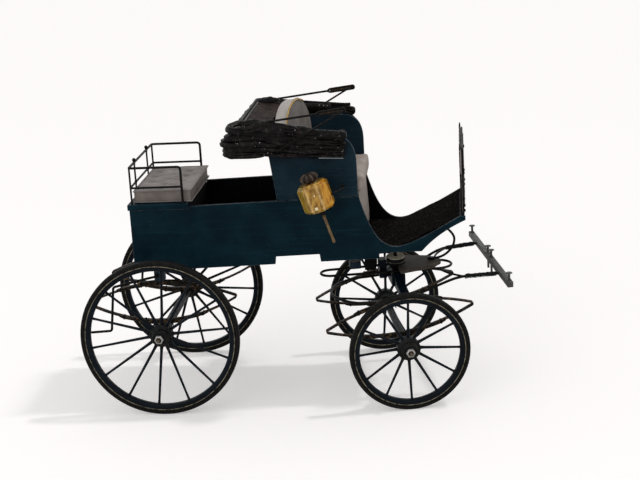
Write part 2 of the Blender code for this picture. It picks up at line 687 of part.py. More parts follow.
def side_outline():
    notch_end = REAR_NOTCH_START + REAR_NOTCH_LENGTH
    outline = [
        (BODY_REAR_X, sill(BODY_REAR_X)),
        (BODY_REAR_X, REAR_BOARD_UNDERSIDE - GAP),
        (REAR_BOARD_FRONT_X + GAP, REAR_BOARD_UNDERSIDE - GAP),
        (REAR_BOARD_FRONT_X + GAP, gunwale(REAR_BOARD_FRONT_X)),
    ]
    outline += footwell_edge()
    outline += [(TOE_X + TOE_TIP_LENGTH, TOE_Z - 0.1 * TOE_TIP_DEPTH)]
    outline += toe_underside()
    outline += [
        (FRONT_NOTCH_X, FRONT_NOTCH_TOP),
        (FRONT_NOTCH_X, sill(FRONT_NOTCH_X)),
        (notch_end, sill(notch_end)),
        (notch_end - NOTCH_SPLAY, sill(notch_end) + NOTCH_DEPTH),
        (REAR_NOTCH_START + NOTCH_SPLAY, sill(REAR_NOTCH_START) + NOTCH_DEPTH),
        (REAR_NOTCH_START, sill(REAR_NOTCH_START)),
    ]
    return outline


for side, word in ((-1, "right"), (1, "left")):
    inner = side * INNER_HALF
    outer = side * BODY_HALF_WIDTH
    solid("side_panel_" + word, prism(side_outline(), inner, outer), PAINT, vehicle)

rear_inner_x = BODY_REAR_X + PANEL_THICKNESS
solid(
    "rear_panel",
    box((BODY_REAR_X, -INSIDE_FIT, sill(BODY_REAR_X)),
        (rear_inner_x, INSIDE_FIT, REAR_BOARD_UNDERSIDE - GAP)),
    PAINT, vehicle)

SEAT_PLANK_UNDERSIDE = gunwale(SEAT_SIDE_FRONT_X) + GAP
SEAT_PLANK_TOP = SEAT_PLANK_UNDERSIDE + BOARD_THICKNESS

floor_rear = rear_inner_x + GAP
floor_front = HEEL_REAR_X - GAP
riser_top = REAR_BOARD_UNDERSIDE - GAP
riser_front_x = seat_rear(SEAT_PLANK_UNDERSIDE) + GAP
floor_outline = [
    (floor_rear, FLOOR_UNDERSIDE),
    (floor_front, FLOOR_UNDERSIDE),
    (floor_front, FLOOR_TOP),
    (riser_front_x + BOARD_THICKNESS, FLOOR_TOP),
    (riser_front_x + BOARD_THICKNESS, SEAT_PLANK_UNDERSIDE - GAP),
    (riser_front_x, SEAT_PLANK_UNDERSIDE - GAP),
    (riser_front_x, FLOOR_TOP),
    (REAR_BOARD_FRONT_X, FLOOR_TOP),
    (REAR_BOARD_FRONT_X, riser_top),
    (REAR_BOARD_FRONT_X - BOARD_THICKNESS, riser_top),
    (REAR_BOARD_FRONT_X - BOARD_THICKNESS, FLOOR_TOP),
    (floor_rear, FLOOR_TOP),
]
solid("body_floor", prism(floor_outline, -INSIDE_FIT, INSIDE_FIT), WELL_PAINT, vehicle)

# The footwell board: heel board, foot floor and sloping toe board in one
toe_floor_x = FOOTWELL_LOW_X + TOE_FLOOR_SETBACK
toe_top = (TOE_X - GAP, TOE_Z - TOE_BOARD_DROP)
toe_angle = math.atan2(toe_top[1] - FLOOR_TOP, toe_top[0] - toe_floor_x)
shift_x = BOARD_THICKNESS * math.sin(toe_angle)
shift_z = BOARD_THICKNESS * math.cos(toe_angle)
knee = BOARD_THICKNESS * math.tan(toe_angle / 2)
footwell_outline = [
    (HEEL_REAR_X, FLOOR_UNDERSIDE),
    (toe_floor_x + knee, FLOOR_UNDERSIDE),
    (toe_top[0] + shift_x, toe_top[1] - shift_z),
    toe_top,
    (toe_floor_x, FLOOR_TOP),
    (HEEL_FACE_X, FLOOR_TOP),
    (HEEL_FACE_X, SEAT_PLANK_UNDERSIDE - GAP),
    (HEEL_REAR_X, SEAT_PLANK_UNDERSIDE - GAP),
]
solid("footwell_board", prism(footwell_outline, -INSIDE_FIT, INSIDE_FIT), WELL_PAINT, vehicle)

# The mat lies on the foot floor and runs up the toe board
mat_rear = HEEL_FACE_X + GAP + FALL_THICKNESS + GAP
mat_low = FLOOR_TOP + GAP
mat_high = mat_low + MAT_THICKNESS
lift_low = GAP / math.cos(toe_angle)
lift_high = (GAP + MAT_THICKNESS) / math.cos(toe_angle)
slope = math.tan(toe_angle)


def toe_line(lift, z):
    """Where the lifted toe board line reaches a height."""
    return toe_floor_x + (z - FLOOR_TOP - lift) / slope


mat_end = toe_top[0] - MAT_END_GAP
mat_outline = [
    (mat_rear, mat_low),
    (toe_line(lift_low, mat_low), mat_low),
    (mat_end, FLOOR_TOP + lift_low + slope * (mat_end - toe_floor_x)),
    (mat_end, FLOOR_TOP + lift_high + slope * (mat_end - toe_floor_x)),
    (toe_line(lift_high, mat_high), mat_high),
    (mat_rear, mat_high),
]
solid("foot_mat", prism(mat_outline, -INSIDE_FIT + GAP, INSIDE_FIT - GAP), MAT, vehicle)

# Dash
dash_x = TOE_X + DASH_THICKNESS / 2 + GAP
dash_foot = TOE_Z + GAP
bm = box((dash_x - DASH_THICKNESS / 2, -DASH_HALF_WIDTH, dash_foot),
         (dash_x + DASH_THICKNESS / 2, DASH_HALF_WIDTH, dash_foot + DASH_HEIGHT))
bm.normal_update()
broad = [f for f in bm.faces if abs(f.normal.x) > 0.9]
bmesh.ops.inset_individual(bm, faces=broad, thickness=DASH_RIM, depth=0.0)
for face in broad:
    step = -DASH_RECESS if face.calc_center_median().x > dash_x else DASH_RECESS
    for vert in face.verts:
        vert.co.x += step
solid("dash", bm, HOOD_LEATHER, vehicle)

# Rear seat
solid(
    "rear_seat_board",
    box((BODY_REAR_X - REAR_BOARD_OVERHANG, -REAR_BOARD_HALF_WIDTH, REAR_BOARD_UNDERSIDE),
        (REAR_BOARD_FRONT_X, REAR_BOARD_HALF_WIDTH, REAR_BOARD_TOP)),
    PAINT, vehicle)

cushion_low = REAR_BOARD_TOP + GAP
cushion_high = cushion_low + REAR_CUSHION_HEIGHT
cushion_rear = RAIL_REAR_X + RAIL_RADIUS + 2.0 * GAP
cushion_front = REAR_BOARD_FRONT_X + REAR_CUSHION_OVERHANG
edge = REAR_CUSHION_EDGE
cushion_outline = [
    (cushion_rear, cushion_low),
    (cushion_front - edge, cushion_low),
    (cushion_front, cushion_low + 2 * edge),
    (cushion_front, cushion_high - edge),
    (cushion_front - edge, cushion_high),
    (cushion_rear + edge, cushion_high),
    (cushion_rear, cushion_high - edge),
]
solid(
    "rear_cushion",
    prism(cushion_outline, -REAR_CUSHION_HALF_WIDTH, REAR_CUSHION_HALF_WIDTH),
    GREY_LEATHER, vehicle)

# The iron guard around the rear seat: a top rail on two front legs, a lower
# rail, two rear posts and two ball-topped spindles, all one welded piece.
rail_foot = REAR_BOARD_TOP + GAP
rail_z = REAR_BOARD_TOP + RAIL_HEIGHT
lower_z = REAR_BOARD_TOP + LOWER_RAIL_HEIGHT
top_path = rounded([
    (RAIL_FRONT_X, -RAIL_HALF_WIDTH, rail_foot),
    (RAIL_FRONT_X, -RAIL_HALF_WIDTH, rail_z),
    (RAIL_REAR_X, -RAIL_HALF_WIDTH, rail_z),
    (RAIL_REAR_X, RAIL_HALF_WIDTH, rail_z),
    (RAIL_FRONT_X, RAIL_HALF_WIDTH, rail_z),
    (RAIL_FRONT_X, RAIL_HALF_WIDTH, rail_foot),
], RAIL_CORNER, 3)
rail = solid("rear_rail", tube(top_path, RAIL_RADIUS, up=(0, 1, 0)), IRON, vehicle,
             smooth=math.radians(50))
lower_path = rounded([
    (RAIL_FRONT_X, -RAIL_HALF_WIDTH, lower_z),
    (RAIL_REAR_X, -RAIL_HALF_WIDTH, lower_z),
    (RAIL_REAR_X, RAIL_HALF_WIDTH, lower_z),
    (RAIL_FRONT_X, RAIL_HALF_WIDTH, lower_z),
], LOWER_RAIL_CORNER, 2)
join_with(rail, tube(lower_path, THIN_RAIL_RADIUS), "rail_lower", vehicle)
bm = bmesh.new()
for side in (-1, 1):
    y = side * (RAIL_HALF_WIDTH - RAIL_POST_INSET)
    x = RAIL_REAR_X + RAIL_POST_LEAD
    tube([(x, y, rail_foot), (x, y, rail_z)], THIN_RAIL_RADIUS, bm=bm, up=(0, 1, 0))
    spindle = [(rail_foot, 0.0), (rail_foot, SPINDLE_ROD_RADIUS), (rail_z, SPINDLE_ROD_RADIUS)]
    centre = rail_z + RAIL_RADIUS + BALL_LIFT
    for k in range(1, 5):
        angle = math.pi * (1.0 - k / 5)
        spindle.append((centre + BALL_RADIUS * math.cos(angle), BALL_RADIUS * math.sin(angle)))
    spindle.append((centre + BALL_RADIUS, 0.0))
    turned(spindle, 8, "Z", bm=bm, at=(RAIL_REAR_X, side * SPINDLE_HALF_SPACING, 0.0))
join_with(rail, bm, "rail_posts", vehicle)


# Front seat
def seat_side_outline():
    """A front seat side, from its foot on the side panel to its rounded front corner."""
    rear_low = (SEAT_SIDE_REAR_X, gunwale(SEAT_SIDE_REAR_X) + GAP)
    front_low = (SEAT_SIDE_FRONT_X, gunwale(SEAT_SIDE_FRONT_X) + GAP)
    top_start = (SEAT_SIDE_FRONT_X - SEAT_CORNER, SEAT_SIDE_TOP)
    side_start = (SEAT_SIDE_FRONT_X, SEAT_SIDE_TOP - 1.3 * SEAT_CORNER)
    outline = [rear_low, front_low, side_start]
    outline += cubic(side_start, (SEAT_SIDE_FRONT_X, SEAT_SIDE_TOP - 0.45 * SEAT_CORNER),
                     (SEAT_SIDE_FRONT_X - 0.35 * SEAT_CORNER, SEAT_SIDE_TOP), top_start, 8)
    outline.append((seat_rear(SEAT_SIDE_TOP), SEAT_SIDE_TOP))
    return outline


for side, word in ((-1, "right"), (1, "left")):
    inner = side * INNER_HALF
    outer = side * BODY_HALF_WIDTH
    solid("seat_side_" + word, prism(seat_side_outline(), inner, outer), PAINT, vehicle)

back_top = SEAT_SIDE_TOP - SEAT_BACK_DROP
seat_outline = [
    (seat_rear(SEAT_PLANK_UNDERSIDE) + GAP, SEAT_PLANK_UNDERSIDE),
    (HEEL_FACE_X, SEAT_PLANK_UNDERSIDE),
    (HEEL_FACE_X, SEAT_PLANK_TOP),
    (seat_rear(SEAT_PLANK_TOP) + GAP + BOARD_THICKNESS, SEAT_PLANK_TOP),
    (seat_rear(back_top) + GAP + BOARD_THICKNESS, back_top),
    (seat_rear(back_top) + GAP, back_top),
]
solid("front_seat_board", prism(seat_outline, -INSIDE_FIT, INSIDE_FIT), PAINT, vehicle)

front_low = SEAT_PLANK_TOP + GAP
front_high = front_low + FRONT_CUSHION_HEIGHT
front_rear = seat_rear(front_low) + BOARD_THICKNESS + 3 * GAP
front_front = SEAT_SIDE_FRONT_X + FRONT_CUSHION_OVERHANG
edge = FRONT_CUSHION_EDGE
front_cushion_outline = [
    (front_rear, front_low),
    (front_front - edge, front_low),
    (front_front, front_low + edge),
    (front_front, front_high - edge),
    (front_front - edge, front_high),
    (front_rear, front_high),
]
solid(
    "front_cushion",
    prism(front_cushion_outline, -FRONT_CUSHION_HALF_WIDTH, FRONT_CUSHION_HALF_WIDTH),
    GREY_LEATHER, vehicle)
solid(
    "seat_fall",
    box((HEEL_FACE_X + GAP, -FRONT_CUSHION_HALF_WIDTH, FLOOR_TOP + FALL_FOOT_GAP),
        (HEEL_FACE_X + GAP + FALL_THICKNESS, FRONT_CUSHION_HALF_WIDTH, front_low - GAP)),
    GREY_LEATHER, vehicle)

arch = [(-BACK_CUSHION_HALF_WIDTH, 0.0), (BACK_CUSHION_HALF_WIDTH, 0.0)]
shoulder = BACK_CUSHION_SHOULDER
for k in range(13):
    angle = math.pi * k / 12
    arch.append((BACK_CUSHION_HALF_WIDTH * math.cos(angle),
                 shoulder + (BACK_CUSHION_HEIGHT - shoulder) * math.sin(angle)))
solid(
    "back_cushion",
    prism(arch, -BACK_CUSHION_THICKNESS, 0.0, "X"),
    PALE_LEATHER, vehicle,
    (SEAT_SIDE_REAR_X + BACK_CUSHION_LEAD, 0.0,
     front_high + GAP + BACK_CUSHION_THICKNESS * math.sin(BACK_CUSHION_RAKE)),
    (0.0, -BACK_CUSHION_RAKE, -BACK_CUSHION_TURN))


# Wheels and axles
def wheel(word, radius, spokes, first, parent, location, side):
    """One wheel: tyre, and felloe, spokes and nave made as one piece."""
    hub = empty(word + "_hub", parent, location)
    rim_centre = side * WHEEL_DISH
    tyre_inner = radius - TYRE_THICKNESS
    half = TYRE_WIDTH / 2
    soft = TYRE_SHOULDER
    tyre_profile = [
        (rim_centre - half, tyre_inner),
        (rim_centre + half, tyre_inner),
        (rim_centre + half, radius - soft),
        (rim_centre + half - soft, radius),
        (rim_centre - half + soft, radius),
        (rim_centre - half, radius - soft),
    ]
    solid(word + "_tyre", turned(tyre_profile, WHEEL_SEGMENTS, closed=True), RUBBER, hub,
          smooth=math.radians(35))
    felloe_outer = tyre_inner - GAP
    felloe_inner = felloe_outer - FELLOE_DEPTH
    half = FELLOE_WIDTH / 2
    felloe_profile = [
        (rim_centre - half, felloe_outer),
        (rim_centre + half, felloe_outer),
        (rim_centre + half, felloe_inner + soft),
        (rim_centre + half - soft, felloe_inner),
        (rim_centre - half + soft, felloe_inner),
        (rim_centre - half, felloe_inner + soft),
    ]
    bm = turned(felloe_profile, WHEEL_SEGMENTS, closed=True)
    flange = NAVE_FLANGE_HALF
    nave_profile = [
        (-NAVE_REACH, BORE_RADIUS),
        (-NAVE_REACH, NAVE_END_RADIUS),
        (-flange - NAVE_LIP, NAVE_RADIUS),
        (-flange, NAVE_FLANGE_RADIUS),
        (flange, NAVE_FLANGE_RADIUS),
        (flange + NAVE_LIP, NAVE_RADIUS),
        (NAVE_REACH, NAVE_END_RADIUS),
        (NAVE_REACH, BORE_RADIUS),
    ]
    turned(nave_profile, NAVE_SEGMENTS, closed=True, bm=bm)
    made = solid(word + "_wheel", bm, WHEEL_PAINT, hub, smooth=math.radians(35))
    bm = bmesh.new()
    root = NAVE_FLANGE_RADIUS - SPOKE_ROOT_DEPTH
    tip = felloe_inner + SPOKE_TIP_DEPTH
    for k in range(spokes):
        angle = math.pi / 2 + first + 2.0 * math.pi * k / spokes
        direction = Vector((math.cos(angle), 0.0, math.sin(angle)))
        across = Vector((-direction.z, 0.0, direction.x))
        rings = []
        for reach, thick in ((root, SPOKE_ROOT_RADIUS), (tip, SPOKE_TIP_RADIUS)):
            lean = rim_centre * (reach - root) / (tip - root)
            centre = direction * reach + Vector((0.0, lean, 0.0))
            rings.append([bm.verts.new(centre + across * u + Vector((0.0, v, 0.0)))
                          for u, v in circle(thick, 6)])
        for i in range(6):
            j = (i + 1) % 6
            bm.faces.new((rings[0][i], rings[0][j], rings[1][j], rings[1][i]))
        bm.faces.new(rings[0])
        bm.faces.new(rings[1])
    join_with(made, bm, word + "_spokes", hub)
    return hub


def axle(word, beam_width, beam_height, parent, location, look):
    """An axle beam with round spindles and a hexagonal nut at each end."""
    rod = [(-AXLE_END, 0.0), (-AXLE_END, SPINDLE_RADIUS), (AXLE_END, SPINDLE_RADIUS), (AXLE_END, 0.0)]
    made = solid(word, turned(rod, 10), look, parent, location, smooth=math.radians(40))
    half = Vector((beam_width / 2, AXLE_SHOULDER, beam_height / 2))
    join_with(made, box(-half, half), word + "_beam", parent, location)
    bm = bmesh.new()
    for side in (-1, 1):
        nut = [(side * NUT_FACE, 0.0), (side * NUT_FACE, NUT_RADIUS),
               (side * (NUT_FACE + NUT_THICKNESS), NUT_RADIUS), (side * (NUT_FACE + NUT_THICKNESS), 0.0)]
        turned(nut, 6, bm=bm)
    join_with(made, bm, word + "_nuts", parent, location)
    return made


rear_axle_at = Vector((0.0, 0.0, REAR_WHEEL_RADIUS))
front_axle_at = Vector((FRONT_AXLE_OFFSET, 0.0, FRONT_WHEEL_RADIUS))
axle("rear_axle", REAR_BEAM_WIDTH, REAR_BEAM_HEIGHT, vehicle, rear_axle_at, AXLE_PAINT)
axle("front_axle", FRONT_BEAM_WIDTH, FRONT_BEAM_HEIGHT, fore, front_axle_at, AXLE_PAINT)
for side, word in ((-1, "right"), (1, "left")):
    out = Vector((0.0, side * HUB_HALF_TRACK, 0.0))
    wheel("rear_" + word, REAR_WHEEL_RADIUS, REAR_SPOKES, REAR_SPOKE_TURN[word], vehicle,
          rear_axle_at + out, side)
    wheel("front_" + word, FRONT_WHEEL_RADIUS, FRONT_SPOKES, FRONT_SPOKE_TURN[word], fore,
          front_axle_at + out, side)


# Springs
def leaf_stack(u):
    """Thickness of the leaf pack at a share u of the half length."""
    leaves = sum(1 for share in SPRING_LEAF_SHARES if abs(u) < share)
    return SPRING_LEAF + leaves * SPRING_STEP


def spring_outlines(half_length, rise, drop, pitch):
    """Outer and inner outline of a full elliptic spring about its own centre."""
    step = 0.02
    shares = [-1.0, -0.9, -0.78, -0.45, -0.14, 0.0]
    for share in SPRING_LEAF_SHARES:
        shares += [-share - step, -share + step]
    shares = sorted(shares + [-s for s in shares if s < 0.0])
    span = half_length - SPRING_EYE - SPRING_LEAF
    outer = []
    inner = []
    for sign, height in ((1, rise - leaf_stack(0.0)), (-1, drop - leaf_stack(0.0))):
        for share in shares:
            u = sign * share
            z = SPRING_EYE + (height - SPRING_EYE) * (1.0 - u * u)
            inner.append((u * span, sign * z))
            outer.append((u * span, sign * (z + leaf_stack(u))))
        for turn in (55, 0, -55):
            x = sign * math.cos(math.radians(turn))
            z = sign * math.sin(math.radians(turn))
            inner.append((sign * span + SPRING_EYE * x, SPRING_EYE * z))
            outer.append((sign * span + (SPRING_EYE + SPRING_LEAF) * x, (SPRING_EYE + SPRING_LEAF) * z))
    c = math.cos(pitch)
    s = math.sin(pitch)
    return [[(x * c - z * s, x * s + z * c) for x, z in line] for line in (outer, inner)]


def lowest_over(outline, reach, sign):
    """Extreme height of an outline within a half width of its middle."""
    best = 0.0
    count = len(outline)
    for i in range(count):
        (x0, z0), (x1, z1) = outline[i], outline[(i + 1) % count]
        for k in range(9):
            t = k / 8
            x = x0 + (x1 - x0) * t
            z = z0 + (z1 - z0) * t
            if abs(x) <= reach:
                best = max(best, sign * z)
    return best


def spring_pair(word, half_length, rise, drop, pitch, parent, x, seat_z, reach):
    outer, inner = spring_outlines(half_length, rise, drop, pitch)
    centre_z = seat_z + GAP + lowest_over(outer, reach, -1.0)
    for side, hand in ((-1, "right"), (1, "left")):
        y = side * SPRING_HALF_TRACK
        solid(word + "_spring_" + hand,
              ring_prism(outer, inner, -SPRING_WIDTH / 2, SPRING_WIDTH / 2),
              SPRING_STEEL, parent, (x, y, centre_z), smooth=math.radians(25))
    return centre_z + lowest_over(outer, reach, 1.0)


rear_spring_top = spring_pair(
    "rear", REAR_SPRING_HALF_LENGTH, REAR_SPRING_RISE, REAR_SPRING_DROP, REAR_SPRING_PITCH,
    vehicle, REAR_SPRING_OFFSET, REAR_WHEEL_RADIUS + REAR_BEAM_HEIGHT / 2,
    REAR_BEAM_WIDTH / 2 - REAR_SPRING_OFFSET)
front_spring_top = spring_pair(
    "front", FRONT_SPRING_HALF_LENGTH, FRONT_SPRING_RISE, FRONT_SPRING_DROP, FRONT_SPRING_PITCH,
    fore, FRONT_SPRING_OFFSET, FRONT_WHEEL_RADIUS + FRONT_BEAM_HEIGHT / 2,
    FRONT_BEAM_WIDTH / 2 + FRONT_AXLE_OFFSET - FRONT_SPRING_OFFSET)

block_rear = REAR_SPRING_OFFSET - BLOCK_HALF_LENGTH
block_front = REAR_SPRING_OFFSET + BLOCK_HALF_LENGTH
block_low = rear_spring_top + GAP
for side, hand in ((-1, "right"), (1, "left")):
    middle = side * SPRING_HALF_TRACK
    block_outline = [
        (block_rear, block_low),
        (block_front, block_low),
        (block_front, sill(block_front) - GAP),
        (block_rear, sill(block_rear) - GAP),
    ]
    solid("spring_block_" + hand,
          prism(block_outline, middle - BLOCK_HALF_WIDTH, middle + BLOCK_HALF_WIDTH), PAINT, vehicle)

# Steps
step_top = sill(block_rear) - 2.0 * GAP - STEP_HEAD_DROP
tread_z = step_top - STEP_KNEE_DROP - STEP_DROP
for side, hand in ((-1, "right"), (1, "left")):
    out = side * (STEP_ROOT + STEP_REACH)
    path = rounded([
        (block_rear + STEP_LEAD, side * STEP_ROOT, step_top),
        (block_rear + STEP_LEAD, side * (STEP_ROOT + STEP_SOCKET), step_top),
        (block_rear - STEP_SHOULDER_BACK, side * (STEP_ROOT + STEP_SHOULDER), step_top - STEP_SHOULDER_DROP),
        (block_rear - STEP_KNEE_BACK, out, step_top - STEP_KNEE_DROP),
        (block_rear - STEP_FOOT_BACK, out, tread_z),
        (block_rear - STEP_FOOT_BACK - STEP_TREAD, out, tread_z - STEP_TREAD_DROP),
    ], STEP_CORNER, 3)
    solid("rear_step_" + hand, tube(path, STEP_RADIUS, up=(0.2, 1, 0)), IRON, vehicle,
          smooth=math.radians(50))

# Transom, bed, cup, kingpin and turntable
transom_top = FLOOR_UNDERSIDE - GAP
solid(
    "front_transom",
    box((KINGPIN_X + TRANSOM_FRONT - TRANSOM_LENGTH, -TRANSOM_HALF_WIDTH, LOOP_TOP + GAP),
        (KINGPIN_X + TRANSOM_FRONT, TRANSOM_HALF_WIDTH, transom_top)),
    IRON, vehicle)

bed_low = front_spring_top + GAP
bed_ends = SPRING_HALF_TRACK + SPRING_WIDTH / 2 + BED_END_MARGIN
bed_shoulder = bed_low + BED_END_DEPTH
bed_outline = [
    (-bed_ends, bed_low), (bed_ends, bed_low), (bed_ends, bed_shoulder),
    (BED_CENTRE_HALF + BED_TAPER, bed_shoulder + BED_TAPER_RISE), (BED_CENTRE_HALF, BED_TOP),
    (-BED_CENTRE_HALF, BED_TOP), (-BED_CENTRE_HALF - BED_TAPER, bed_shoulder + BED_TAPER_RISE),
    (-bed_ends, bed_shoulder),
]
pin_hole = KINGPIN_RADIUS + RUNNING_GAP
nut_low = bed_low - GAP - PIN_NUT_HEIGHT
bed = solid("front_bed", prism(bed_outline, -BED_END_HALF_LENGTH, BED_END_HALF_LENGTH, "X"),
            WHEEL_PAINT, fore)
join_with(
    bed,
    box((-BED_HALF_LENGTH, -BED_CENTRE_HALF + BED_CORE_INSET, bed_low + BED_CORE_REVEAL),
        (BED_HALF_LENGTH, BED_CENTRE_HALF - BED_CORE_INSET, BED_TOP - BED_CORE_REVEAL)),
    "bed_core", fore)
riser_front = -CUP_RADIUS - GAP
join_with(
    bed,
    box((riser_front - RISER_LENGTH, -RISER_HALF_WIDTH, BED_TOP - BED_FOOT_DEPTH),
        (riser_front, RISER_HALF_WIDTH, BED_TOP + RISER_HEIGHT)),
    "bed_riser", fore)
join_with(
    bed,
    box((riser_front - 0.5 * RISER_LENGTH, -RISER_HALF_WIDTH + BED_FOOT_REVEAL,
         BED_TOP - BED_FOOT_DEPTH + BED_FOOT_REVEAL),
        (0.0, RISER_HALF_WIDTH - BED_FOOT_REVEAL, BED_TOP - BED_FOOT_REVEAL)),
    "bed_foot", fore)
drill_low = bed_low - GAP
drill_top = BED_TOP + GAP
bm = turned([(drill_low, 0.0), (drill_low, pin_hole), (drill_top, pin_hole), (drill_top, 0.0)], 12, "Z")
drill = solid("bed_drill", bm, None, fore)
drill.hide_render = True
drill.display_type = "WIRE"
bore = bed.modifiers.new("bed_drill", "BOOLEAN")
bore.operation = "DIFFERENCE"
bore.solver = "EXACT"
bore.object = drill

cup_foot = BED_TOP + GAP
cup_profile = [(cup_foot, pin_hole)]
cup_profile += [(cup_foot + up * CUP_HEIGHT, out * CUP_RADIUS) for up, out in CUP_TURNING]
cup_profile.append((cup_foot + CUP_HEIGHT, pin_hole))
solid("kingpin_cup", turned(cup_profile, 20, "Z", closed=True), PLATE_WOOD, fore,
      smooth=math.radians(40))

pin_profile = [
    (nut_low, 0.0), (nut_low, PIN_NUT_RADIUS),
    (bed_low - GAP, PIN_NUT_RADIUS), (bed_low - GAP, KINGPIN_RADIUS),
    (transom_top, KINGPIN_RADIUS), (transom_top, 0.0),
]
solid("kingpin", turned(pin_profile, 10, "Z"), IRON, vehicle, (KINGPIN_X, 0.0, 0.0),
      smooth=math.radians(40))

# The long flat loop that the transom slides on
loop_path = []
rear_centre = LOOP_REAR_X + LOOP_REAR_HALF
front_centre = LOOP_FRONT_X - LOOP_FRONT_HALF
for k in range(9):
    angle = math.pi / 2 + math.pi * k / 8
    loop_path.append((rear_centre + LOOP_REAR_HALF * math.cos(angle),
                      LOOP_REAR_HALF * math.sin(angle), LOOP_Z))
for k in range(9):
    angle = -math.pi / 2 + math.pi * k / 8
    loop_path.append((front_centre + LOOP_FRONT_HALF * math.cos(angle),
                      LOOP_FRONT_HALF * math.sin(angle), LOOP_Z))
solid("upper_loop", tube(loop_path, LOOP_RADIUS, closed=True), IRON, fore,
      smooth=math.radians(50))

# The tongue plate in front of the cup, on top of the loop
hollow = CUP_RADIUS + GAP
shoulder_x = 0.78 * PLATE_LENGTH
shoulder_half = 0.6 * PLATE_ROOT_HALF
nose_centre = PLATE_LENGTH - PLATE_NOSE_HALF
plate_outline = [(PLATE_ROOT_X, -PLATE_ROOT_HALF), (shoulder_x, -shoulder_half)]
for k in range(7):
    angle = PLATE_NOSE_TURN * (k / 3 - 1.0)
    plate_outline.append((nose_centre + PLATE_NOSE_HALF * math.cos(angle),
                          1.25 * PLATE_NOSE_HALF * math.sin(angle)))
plate_outline += [(shoulder_x, shoulder_half), (PLATE_ROOT_X, PLATE_ROOT_HALF)]
start = math.acos(PLATE_ROOT_X / hollow)
for k in range(9):
    angle = start - 2.0 * start * k / 8
    plate_outline.append((hollow * math.cos(angle), hollow * math.sin(angle)))
solid("turntable_plate",
      prism(plate_outline, PLATE_UNDERSIDE, PLATE_UNDERSIDE + PLATE_THICKNESS, "Z"),
      PLATE_WOOD, fore)
plate_top = PLATE_UNDERSIDE + PLATE_THICKNESS

half = CLAMP_SIZE / 2
solid(
    "clamp_block",
    box((CLAMP_X - half, CLAMP_Y - half, LOOP_TOP + GAP),
        (CLAMP_X + half, CLAMP_Y + half, LOOP_TOP + GAP + CLAMP_HEIGHT)),
    PAINT, fore)

# A bent iron that stands on the plate's nose and curls up under the toe board
stay_z = plate_top + GAP + STAY_RADIUS
stay_path = rounded([(PLATE_LENGTH + ahead, 0.0, stay_z + up) for ahead, up in STAY_BENDS], STAY_CORNER, 4)
solid("stay_iron", tube(stay_path, STAY_RADIUS, up=(0, 1, 0)), IRON, fore,
      smooth=math.radians(50))


# Hoop, arms and splinter bar
def arm_points(side):
    """One arm, from the splinter bar back to the start of the hoop."""
    bar_rear = BAR_X - BAR_WIDTH / 2 - GAP
    return [Vector((way * bar_rear, side * (HOOP_HALF_WIDTH + flare * ARM_FLARE),
                    HOOP_Z + rise * (ARM_Z - HOOP_Z))) for way, flare, rise in ARM_BENDS]


hoop_path = arm_points(-1)
for k in range(13):
    angle = -math.pi / 2 - math.pi * k / 12
    hoop_path.append(Vector((HOOP_CENTRE_X + HOOP_HALF_WIDTH * math.cos(angle),
                             HOOP_HALF_WIDTH * math.sin(angle), HOOP_Z)))
hoop_path += reversed(arm_points(1))
hoop = solid("hoop_frame", tube(hoop_path, HOOP_RADIUS), IRON, fore, smooth=math.radians(50))
bm = bmesh.new()
for side in (-1, 1):
    head = arm_points(side)[1]
    foot = Vector((front_centre, side * (LOOP_FRONT_HALF + LOOP_RADIUS + GAP), LOOP_Z))
    middle = Vector(((head.x + foot.x) / 2, (head.y + foot.y) / 2, LOOP_Z + STRUT_LIFT))
    tube([head, middle, foot], STRUT_RADIUS, bm=bm)
join_with(hoop, bm, "hoop_struts", fore)

bar_half = Vector((BAR_WIDTH / 2, BAR_LENGTH / 2, BAR_HEIGHT / 2))
bar_at = Vector((BAR_X, 0.0, ARM_Z))
bar = solid("splinter_bar", box(-bar_half, bar_half), BAR_PAINT, fore, bar_at)
bm = bmesh.new()
for place in (-BOLT_OUTER, -BOLT_INNER, BOLT_INNER, BOLT_OUTER):
    inside = -BAR_HEIGHT / 4
    low = -BAR_HEIGHT / 2 - BOLT_DROP if abs(place) < BOLT_OUTER / 2 else inside
    top = BAR_HEIGHT / 2 + BOLT_RISE
    head = top - BOLT_HEAD_THICKNESS
    turned([(low, 0.0), (low, BOLT_RADIUS), (head, BOLT_RADIUS), (head, BOLT_HEAD_RADIUS),
            (top, BOLT_HEAD_RADIUS), (top, 0.0)], 8, "Z", bm=bm, at=(0.0, place, 0.0))
join_with(bar, bm, "bar_bolts", fore, bar_at)


